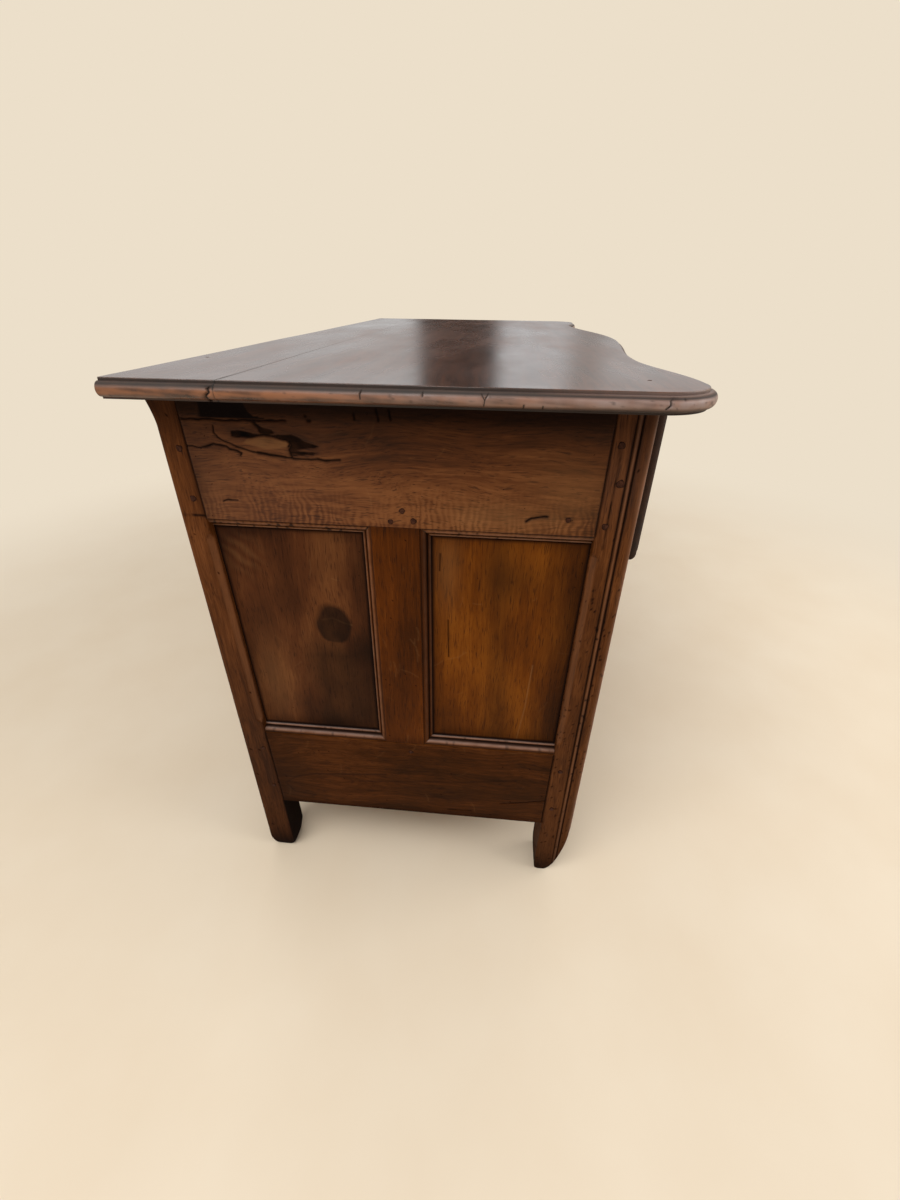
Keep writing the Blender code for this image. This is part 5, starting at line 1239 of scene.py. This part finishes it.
# Pegs of the joints: (distance from the back corner, height, radius)
PEGS = [(0.0203, 0.742, 0.0038), (0.0214, 0.683, 0.0038), (0.507, 0.762, 0.0040), (0.513, 0.721, 0.0046)]
PEGS += [(0.505, 0.671, 0.0038), (0.2725, 0.679, 0.0034), (0.2856, 0.667, 0.0036), (0.2585, 0.665, 0.0032)]
PEGS += [(0.463, 0.677, 0.0030), (0.030, 0.262, 0.0034), (0.032, 0.172, 0.0034), (0.505, 0.262, 0.0036)]
PEGS += [(0.502, 0.172, 0.0036), (0.272, 0.280, 0.0034)]

# Nails through the top: (x, y, radius), and how deep they sit
TOP_NAILS = [(-0.479, 0.291, 0.0028), (-0.6555, 0.011, 0.0022), (-0.587, -0.236, 0.0026)]
TOP_NAILS += [(0.52, 0.285, 0.0028)]
NAIL_SINK = 0.0007


def peg_shell(middle, across, up, radius, seed):
    """The end of a split peg or an old nail: a lumpy circle in the plane of two directions, eased at the
    rim and a hair proud of it."""
    rng = np.random.default_rng(seed)
    angle = full_turn(20)
    lumps = 1 + 0.09 * np.cos(3 * angle + rng.uniform(0, 6)) + 0.06 * np.cos(4 * angle + rng.uniform(0, 6))
    shrink = np.array([1.0, 1.0, 0.92, 0.7, 0.35, 0.05])
    rise = np.array([-0.003, 0.0001, 0.0004, 0.00055, 0.0006, 0.0006])
    reach = (radius * shrink[:, None] * lumps)[..., None]
    circle = np.cos(angle)[:, None] * np.array(across) + np.sin(angle)[:, None] * np.array(up)
    points = np.array(middle) + reach * circle + rise[:, None, None] * np.cross(across, up)
    return tube(points, grime=fade(1 - shrink, 0.12)[:, None] * 0.8)


for end_name, end_side in SIDES.items():
    pegs = [
        peg_shell((end_side * OUTER_X, BACK_Y - away, z), (0, end_side, 0), (0, 0, 1), radius, 100 + i)
        for i, (away, z, radius) in enumerate(PEGS)
    ]
    add_piece(f"joint_pegs_{end_name}", pegs, PEG_WOOD)
nails = [
    peg_shell((x, y, HEIGHT - NAIL_SINK), (1, 0, 0), (0, 1, 0), radius, 130 + i)
    for i, (x, y, radius) in enumerate(TOP_NAILS)
]
add_piece("top_nail_heads", nails, PEG_WOOD)


# Front rails

FRONT_RAIL_EASE = 0.0015
UPPER, MIDDLE, LOWER = OPENINGS.values()


def front_rail(node, low, high):
    """A rail between the drawers: an eased section carried along the serpentine. The apron's foot is arched
    by a cosine wave on each side of its middle."""
    apron = node == "front_apron"
    half = POST_INNER_X - FIT_GAP
    x = (half * np.linspace(-1, 1, 221))[:, None]
    into_low, rise_low = eased(FRONT_RAIL_EASE).T
    share_front = np.linspace(0, 1, 9)[1:-1]
    depth = APRON_THICKNESS if apron else FRONT_Y + RAIL_DEPTH - front_line(x)
    wave = (1 - np.cos(2 * math.pi * np.abs(x) / POST_INNER_X)) / 2
    bottom = low + APRON_ARCH * wave if apron else np.full_like(x, low)
    middle = bottom + FRONT_RAIL_EASE + (high - bottom - 2 * FRONT_RAIL_EASE) * share_front
    up = [bottom + rise_low, middle, high - rise_low[::-1] + 0 * x]
    z = np.concatenate([*up, np.full_like(x, high), bottom], axis=1)
    into = np.concatenate([into_low, np.zeros(len(share_front)), into_low[::-1]])
    behind = np.broadcast_to(front_line(x) + depth, (len(x), 2))
    y = np.concatenate([front_line(x) + into, behind], axis=1)
    points = np.stack([np.broadcast_to(x, y.shape), y, z], axis=-1)
    grime = np.maximum(0.5 * fade(half - np.abs(x), 0.006), 0.35 * fade(z - low, 0.006))
    rubbed = 0.4 * np.concatenate([fade(into, 0.001), [0.0, 0.0]])
    shell = tube(points, grime=grime, wear=rubbed * (0.5 + 0.5 * unevenness(points, 0.05, 65)))
    add_piece(f"{node}_wood", [shell], DRAWER_WOOD, node)


front_rail("front_top_rail", UPPER[1], UNDER_TOP - FIT_GAP)
front_rail("upper_divider", MIDDLE[1], UPPER[0])
front_rail("lower_divider", LOWER[1], MIDDLE[0])
front_rail("front_apron", LOWER[0] - APRON_HEIGHT, LOWER[0])


# Drawer fronts

FIELD_EDGE_DIRT = 0.5
ACROSS = np.linspace(-1, 1, 241)
UPWARDS = np.linspace(0, 1, 61)
# Half sizes of the pocket behind the keyhole
POCKET_X = 0.0055
POCKET_Z = 0.0090


def outline_ring(half, low, high, out):
    """Points round a drawer front: its top, right, bottom and left edges, on the serpentine, so far out."""
    side = np.full(len(UPWARDS) - 2, half)
    x = np.concatenate([half * ACROSS, side, -half * ACROSS, -side])
    rise = low + (high - low) * UPWARDS
    level = np.ones(len(ACROSS))
    z = np.concatenate([high * level, rise[-2:0:-1], low * level, rise[1:-1]])
    return np.stack([x, front_line(x) - out, z], axis=-1)


def drawer_front(name):
    """A lipped front: a core in the opening, the lip's rounded edge in rings round it, and the raised field
    as a grid on the serpentine. The keyhole is a pocket pushed into the field behind the escutcheon, painted
    black as shade."""
    low, high = OPENINGS[name]
    core = (CORE_HALF - CORE_SHY, low + FIT_GAP, high - HEAD_CLEARANCE)
    angle = np.linspace(0, math.pi / 2, 9)
    edge_out = FIT_GAP + LIP_EDGE
    round_out = PROUD - LIP_EDGE - LIP_FILLET
    fillet = [LIP_ROUND + 0.0004, LIP_ROUND + LIP_FILLET]
    inset = np.concatenate([[0.0], LIP_ROUND * (1 - np.cos(angle)), fillet])
    out = np.concatenate([[FIT_GAP], edge_out + round_out * np.sin(angle), [FACE_OUT - 0.0006, FACE_OUT]])
    rings = [outline_ring(*core, -CORE_DEPTH), outline_ring(*core, FIT_GAP)]
    for grow, step_out in zip(LIP - inset, out):
        rings.append(outline_ring(POST_INNER_X + grow, low - grow, high + grow, step_out))
    rings = np.stack(rings)
    order = np.concatenate([[0.0, 0.0], inset])
    quirk = 0.7 * fade(order - LIP_ROUND - 0.0002, 0.0006) + 0.8 * fade(order, 0.0018)
    at_end = np.abs(rings[..., 0]) > POST_INNER_X - LIP_ROUND
    quirk = np.maximum(quirk[:, None], 0.8 * at_end)
    # The first and last rings carry the dirt of the sheets that they join
    quirk[0] = 0.0
    quirk[-1] = FIELD_EDGE_DIRT
    rubbed = 0.35 * fade(order - 0.005, 0.003)[:, None] * ~at_end
    lip = surface(rings, [grid_faces(numbered(rings), True)], grime=quirk, wear=rubbed)

    grow = LIP - inset[-1]
    half = POST_INNER_X + grow
    x, z = np.meshgrid(half * ACROSS, low - grow + (high - low + 2 * grow) * UPWARDS)
    keyhole_z = high - KEYHOLE_FROM_TOP
    pocket = (np.abs(x) < POCKET_X) & (np.abs(z - keyhole_z + KEYHOLE_SLOT_LENGTH / 2) < POCKET_Z)
    points = np.stack([x, front_line(x) - FACE_OUT + KEYHOLE_DEPTH * pocket, z], axis=-1)
    margin = np.minimum(half - np.abs(x), np.minimum(z - z.min(), z.max() - z))
    hollow = ramp(margin / 0.01) * 0.0003 * (1 + unevenness(points, 0.07, 73)) / 2
    points[..., 1] += np.where(pocket, 0.0, hollow)
    hands = blot(np.abs(x), z, (PULL_X, (low + high) / 2), (0.11, 0.06))
    # The keyhole's pocket is painted black: painted shade
    field = patch(points, grime=np.maximum(FIELD_EDGE_DIRT * fade(margin, 0.006), pocket), wear=0.10 * hands)
    x, z = np.meshgrid(core[0] * ACROSS, core[1] + (core[2] - core[1]) * UPWARDS)
    behind = patch(np.stack([x, front_line(x) + CORE_DEPTH, z], axis=-1))
    node = f"{name}_drawer_front"
    add_piece(f"{node}_wood", [lip, field, behind], DRAWER_WOOD, node, f"{name}_drawer")


for drawer in OPENINGS:
    drawer_front(drawer)


# Pulls and escutcheons

# Rings of the plate and of the escutcheon: how far in or out, how far off the drawer, and dirt
PLATE_INWARD = [1.0, 1.0, 0.992, 0.975, 0.95, 0.925, 0.91, 0.895, 0.88, 0.80, 0.5, 0.2, 0.02]
PLATE_OUT = [0.0, 0.45, 0.7, 0.85, 0.9, 0.85, 0.5, 0.5, 0.75, 0.85, 0.95, 1.0, 1.0]
PLATE_DIRT = [0.6, 0.5, 0.1, 0.0, 0.0, 0.1, 0.9, 0.9, 0.3, 0.1, 0.1, 0.1, 0.1]
ESCUTCHEON_SHARE = [0.0, 0.0, 0.06, 0.3, 0.6, 0.72, 0.80, 0.86, 0.93, 1.0, 1.0]
ESCUTCHEON_OUT = [0.0, 0.0016, 0.0019, 0.0020, 0.0018, 0.0016, 0.0010, 0.0016, 0.0015, 0.0008, 0.0]
ESCUTCHEON_DIRT = [0.9, 0.6, 0.1, 0.0, 0.0, 0.2, 0.9, 0.1, 0.0, 0.3, 0.6]
# Foot of an eyed post: radius and distance from the plate
FOOT_RADIUS = [0.0068, 0.0068, 0.0058, 0.0036]
FOOT_STAND = [-0.001, 0.0015, 0.003, 0.005]


def column(values):
    """Values as a column, one for each ring."""
    return np.array(values)[:, None]


def pull_frame(x, z):
    """Where a pull sits: its middle on the drawer's face, and the cosine and sine of the slope there."""
    reach = POST_SPACING / 2
    slope = (front_line(x + reach) - front_line(x - reach)) / (2 * reach)
    seat = (front_line(x + reach) + front_line(x - reach)) / 2 - FACE_OUT
    turn = np.arctan(slope)
    return np.array([x, float(seat), z]), float(np.cos(turn)), float(np.sin(turn))


def on_pull(x, y, z, place):
    """Turns a pull's own points, X along the face and -Y out of it, into place."""
    middle, cosine, sine = place
    return np.stack(np.broadcast_arrays(x * cosine - y * sine, x * sine + y * cosine, z), axis=-1) + middle


def pull_plate(drawer, name, side, z):
    """The plate: a wavy ellipse drawn in step by step, with a rounded rim, a sunk line and a raised middle.
    Its two eyed posts are turned shapes on it."""
    middle_x = side * PULL_X
    angle = full_turn(144)
    wave = (1 + 0.10 * np.cos(4 * angle) - 0.05 * np.cos(8 * angle)) / 1.05
    inward = column(PLATE_INWARD)
    x = middle_x + PLATE_LENGTH / 2 * inward * wave * np.cos(angle)
    height = z + PLATE_HEIGHT / 2 * inward * wave * np.sin(angle)
    y = front_line(x) - FACE_OUT - FIT_GAP - column(PLATE_OUT) * PLATE_THICKNESS
    shells = [tube(np.stack([x, y, height], axis=-1), grime=column(PLATE_DIRT))]

    place = pull_frame(middle_x, z)
    face = FIT_GAP + PLATE_THICKNESS
    axis = face + BAIL_STAND_OFF
    ball = np.radians(np.linspace(-60, 80, 12))
    radius = column([*FOOT_RADIUS, *EYE_RADIUS * np.cos(ball), 0.0002])
    foot = [face + stand for stand in FOOT_STAND]
    stand = column([*foot, *axis + EYE_RADIUS * np.sin(ball), axis + EYE_RADIUS])
    neck = 0.8 * fade(stand - face, 0.001) + 0.5 * fade(stand - face - 0.005, 0.0015)
    turn = full_turn(24)
    for centre in (-POST_SPACING / 2, POST_SPACING / 2):
        points = on_pull(centre + radius * np.cos(turn), -stand, radius * np.sin(turn), place)
        shells.append(tube(points, grime=neck))
    node = f"{drawer}_pull_plate_{name}"
    add_piece(f"{node}_cast", shells, BRASS, node, f"{drawer}_drawer")


def bail(drawer, name, side, z):
    """The bail: a round bar along two pins, two elbows and half an ellipse, thicker towards the grip's
    middle."""
    eye_out, eye_in = POST_SPACING / 2 + EYE_RADIUS, POST_SPACING / 2 - EYE_RADIUS * 0.6
    elbow_x = eye_out + PIN_RADIUS
    bend = np.linspace(0, math.pi / 2, 9)
    pins = np.array([(eye_in, 0.0), (elbow_x - 0.001, 0.0)])
    elbow = np.stack([elbow_x + BAIL_ELBOW * np.sin(bend), -BAIL_ELBOW * (1 - np.cos(bend))], axis=-1)
    sweep = np.linspace(0, math.pi / 2, 25)[1:]
    drop = -BAIL_ELBOW - (BAIL_DROP - BAIL_ELBOW) * np.sin(sweep)
    half = np.concatenate([pins, elbow, np.stack([elbow[-1, 0] * np.cos(sweep), drop], axis=-1)])
    path = np.concatenate([half, half[-2::-1] * [-1, 1]])
    swell = np.concatenate([np.zeros(len(pins) + len(elbow)), np.sin(sweep)])
    swell = column(np.concatenate([swell, swell[-2::-1]]))
    radius = PIN_RADIUS + (GRIP_RADIUS - PIN_RADIUS) * swell
    step = np.gradient(path, axis=0)
    step /= np.linalg.norm(step, axis=1, keepdims=True)
    turn = full_turn(16)
    across = radius * np.cos(turn)
    x = path[:, :1] - step[:, 1:] * across
    height = path[:, 1:] + step[:, :1] * across
    y = radius * np.sin(turn) - FIT_GAP - PLATE_THICKNESS - BAIL_STAND_OFF
    points = on_pull(x, y, height, pull_frame(side * PULL_X, z))
    node = f"{drawer}_bail_{name}"
    shell = tube(points, grime=0.6 * (1 - swell) ** 3)
    add_piece(f"{node}_bar", [shell], BRASS, node, node)


def escutcheon(drawer):
    """The keyhole plate: rings from the keyhole's outline out to a wavy oval, flat behind and rounded in
    front."""
    z = OPENINGS[drawer][1] - KEYHOLE_FROM_TOP
    spread = math.degrees(math.asin(KEYHOLE_SLOT_HALF / KEYHOLE_RADIUS))
    round_hole = arc((0.0, 0.0), KEYHOLE_RADIUS, 270 - spread, -90 + spread, 24)
    foot = [(KEYHOLE_SLOT_HALF, -KEYHOLE_SLOT_LENGTH), (-KEYHOLE_SLOT_HALF, -KEYHOLE_SLOT_LENGTH)]
    hole = resample(np.concatenate([round_hole, foot, round_hole[:1]]), 0.0009)[:-1]
    hole_x, hole_z = hole.T
    middle = -KEYHOLE_SLOT_LENGTH / 3
    angle = np.arctan2(hole_z - middle, hole_x)
    wave = (1 + 0.08 * np.cos(6 * angle)) / 1.08
    oval_x = ESCUTCHEON_WIDTH / 2 * np.cos(angle) * wave
    oval_z = middle + ESCUTCHEON_HEIGHT / 2 * np.sin(angle) * wave
    share = column(ESCUTCHEON_SHARE)
    x = hole_x + (oval_x - hole_x) * share
    height = z + hole_z + (oval_z - hole_z) * share
    y = front_line(x) - FACE_OUT - FIT_GAP - column(ESCUTCHEON_OUT)
    points = np.stack([x, y, height], axis=-1)
    index = numbered(points)
    faces = grid_faces(np.concatenate([index, index[:1]]), True)
    shell = surface(points, [faces], grime=column(ESCUTCHEON_DIRT))
    node = f"{drawer}_escutcheon"
    add_piece(f"{node}_cast", [shell], BRASS, node, f"{drawer}_drawer")


for drawer, (sill, opening_head) in OPENINGS.items():
    pull_z = (sill + opening_head) / 2 + BAIL_DROP / 4
    for end_name, end_side in SIDES.items():
        pull_plate(drawer, end_name, end_side, pull_z)
        bail(drawer, end_name, end_side, pull_z)
    escutcheon(drawer)


# Finishes of the solids that stay as they are: the first start of a name that fits

PLAIN_FINISHES = {"back_board_lower": LOW_BACK_WOOD, "back_board_upper": HIGH_BACK_WOOD}
PLAIN_FINISHES |= {"back_": BACK_RAIL_WOOD, "runner": LINING_DEEP}

for node_name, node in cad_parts.items():
    if not node.hide_render:
        fitting = [finish for start, finish in PLAIN_FINISHES.items() if node_name.startswith(start)]
        fitting += [LINING_DEEP if "side" in node_name else LINING_LONG]
        node.data.materials.clear()
        node.data.materials.append(fitting[0])


# Floor, light and camera

BACKDROP = "#ecdfca"
FLOOR_REACH = 25.0
# The floor passes into the backdrop between these distances
FLOOR_PLAIN_TO, FLOOR_GONE_AT = 0.95, 2.4
WALL_DISTANCE = 22.0
WALL_HEIGHT = 30.0
WALL_SPREAD = 60


def background_rays(tree):
    """1 for rays that see the background itself, from the camera, off a polished face or through glass,
    else 0."""
    share = add_node(tree, "LightPath", out="Is Camera Ray")
    for kind in ("Is Glossy Ray", "Is Transmission Ray"):
        other = add_node(tree, "LightPath", out=kind)
        share = add_node(tree, "Math", {0: share, 1: other}, operation="MAXIMUM")
    return share


def window_bands(tree, place):
    """The ramp of two tall bright windows beyond the far end and the dark stretches by them, over the
    bearing of a place in degrees, as its colour and its alpha, which is 0 where there is no window wall."""
    x, y = (add_node(tree, "SeparateXYZ", {0: place}, axis) for axis in "XY")
    bearing = add_node(tree, "Math", {0: y, 1: x}, operation="ARCTAN2")
    limit = math.radians(WALL_SPREAD)
    sweep = add_node(tree, "MapRange", {0: bearing, 1: -limit, 2: limit})
    bright, white, bar, shade = (linear(code) for code in ("#f4f2f0", "#ffffff", "#bdb8b3", "#3a3029"))
    none = (*bright[:3], 0.0)
    bands = [(-60, none), (-30, none), (-23, bright), (-11.6, bright), (-9.9, bar), (-8.2, bar)]
    bands += [(-6.6, white), (-0.6, white), (0.8, shade), (8.0, shade), (9.4, bright), (38, bright)]
    bands += [(46, none), (60, none)]
    stops = [((angle + WALL_SPREAD) / (2 * WALL_SPREAD), colour) for angle, colour in bands]
    colour = add_node(tree, "ValToRGB", {"Fac": sweep}, stops=stops)
    return colour, colour.node.outputs["Alpha"]


def stage_sheet(name, points, material):
    """A sheet over a grid of points that belongs to the studio."""
    corners, faces, _ = patch(points)
    mesh = bpy.data.meshes.new(name)
    mesh.from_pydata(corners.tolist(), [], faces[0].tolist())
    mesh.materials.append(material)
    sheet = place_object(name, mesh)
    return sheet


def pale_floor():
    """A pale honed stone floor, matt and very faintly clouded, so that only the commode's shadow shows on
    it. Far from the commode it passes into the plain backdrop."""
    material, tree, shader, place = new_material("honed_stone_floor")
    cloud = add_node(tree, "TexNoise", {"Vector": place, "Scale": 1 / 0.25, "Detail": 4.0})
    colour = add_node(tree, "ValToRGB", {"Fac": cloud}, stops=stops_of(("#dfceb5", "#e3d4bd"), (0.3, 0.7)))
    feed(shader, {"Base Color": colour, "Roughness": 0.75})
    away = add_node(tree, "VectorMath", {0: place}, "Value", operation="LENGTH")
    passing = {0: away, 1: FLOOR_PLAIN_TO, 2: FLOOR_GONE_AT}
    far = add_node(tree, "MapRange", passing, interpolation_type="SMOOTHSTEP")
    share = add_node(tree, "Math", {0: far, 1: background_rays(tree)}, operation="MULTIPLY")
    backdrop = add_node(tree, "Emission", {"Color": linear(BACKDROP), "Strength": 1.0})
    mixed = add_node(tree, "MixShader", {0: share, 1: shader.outputs[0], 2: backdrop})
    feed(tree.nodes["Material Output"], {"Surface": mixed})
    x, y = np.meshgrid([-FLOOR_REACH, FLOOR_REACH], [-FLOOR_REACH, FLOOR_REACH])
    stage_sheet("floor", np.stack([x, y, 0 * x], axis=-1), material)


def window_wall():
    """A wall far beyond the far end, bent round the middle as an arc, that only polished faces mirror: the
    windows give the top its bright and dark bands."""
    material, tree, shader, place = new_material("window_wall")
    tree.nodes.remove(shader)
    windows, alpha = window_bands(tree, place)
    shown = {0: alpha, 6: linear(BACKDROP), 7: windows}
    colour = add_node(tree, "Mix", shown, 2, data_type="RGBA")
    glow = add_node(tree, "Emission", {"Color": colour, "Strength": 1.0})
    feed(tree.nodes["Material Output"], {"Surface": glow})
    line = arc((0.0, 0.0), WALL_DISTANCE, -WALL_SPREAD, WALL_SPREAD, 60)
    rings = [np.column_stack([line, np.full(len(line), z)]) for z in (0.0, WALL_HEIGHT)]
    wall = stage_sheet("window_wall", np.stack(rings), material)
    for ray in ("camera", "diffuse", "transmission", "volume_scatter", "shadow"):
        setattr(wall, f"visible_{ray}", False)


def room_light():
    """The studio round the commode: walls in shade under a bright ceiling, with the windows beyond the far
    end, and a plain cream for the rays that see the background."""
    world = bpy.data.worlds.new("studio")
    bpy.context.scene.world = world
    world.use_nodes = True
    tree = world.node_tree
    direction = add_node(tree, "TexCoord", out="Generated")
    windows, alpha = window_bands(tree, direction)
    height = add_node(tree, "SeparateXYZ", {0: direction}, "Z")
    stops = stops_of(("#4f4a45", "#6a645e", "#e2dfdb"), (0.0, 0.30, 0.80))
    room = add_node(tree, "ValToRGB", {"Fac": height}, stops=stops)
    light = add_node(tree, "Mix", {0: alpha, 6: room, 7: windows}, 2, data_type="RGBA")
    seen = {0: background_rays(tree), 6: light, 7: linear(BACKDROP)}
    colour = add_node(tree, "Mix", seen, 2, data_type="RGBA")
    feed(tree.nodes["Background"], {"Color": colour, "Strength": 1.0})


def turned(right, up, back, place):
    """The matrix of a light or camera at a place, with its three axes."""
    axes = np.eye(4)
    axes[:3] = np.stack([right, up, back, place], axis=1)
    return Matrix(axes.tolist())


def soft_box(name, place, target, width, height, power):
    """A soft box aimed from its place at a target, unseen itself."""
    light = bpy.data.lights.new(name, "AREA")
    light.shape = "RECTANGLE"
    light.size = width
    light.size_y = height
    light.energy = power
    lamp = place_object(name, light)
    back = np.array(place, float) - np.array(target, float)
    back /= np.linalg.norm(back)
    right = np.cross([0.0, 0.0, 1.0], back)
    right /= np.linalg.norm(right)
    lamp.matrix_world = turned(right, np.cross(back, right), back, place)
    lamp.visible_camera = False


def photo_camera():
    """The photograph's camera: a short lens above the near end, looking down and a little towards the
    back."""
    focal_pixels = 507.763
    image_height = 1200
    sensor = 36.0
    place = (-1.16399, -0.08349, 0.89688)
    down_tilt, heading, roll = np.radians([31.262, 4.909, -0.759])
    level = math.cos(down_tilt)
    forward = np.array([level * math.cos(heading), level * math.sin(heading), -math.sin(down_tilt)])
    level_right = np.array([math.sin(heading), -math.cos(heading), 0.0])
    level_down = np.cross(forward, level_right)
    right = math.cos(roll) * level_right + math.sin(roll) * level_down
    down = -math.sin(roll) * level_right + math.cos(roll) * level_down
    data = bpy.data.cameras.new("photo_camera")
    data.sensor_fit = "VERTICAL"
    data.sensor_height = sensor
    data.lens = sensor * focal_pixels / image_height
    data.clip_start = 0.01
    camera = place_object("photo_camera", data)
    camera.matrix_world = turned(right, -down, -forward, place)
    bpy.context.scene.camera = camera


pale_floor()
window_wall()
room_light()
soft_box("key_light", (-2.0, 0.9, 2.7), (-0.5, 0.0, 0.45), 2.0, 1.2, 48)
soft_box("front_light", (-0.4, -2.8, 2.2), (0.0, -0.2, 0.45), 2.6, 1.6, 50)
photo_camera()
bpy.context.scene.view_settings.view_transform = "Standard"
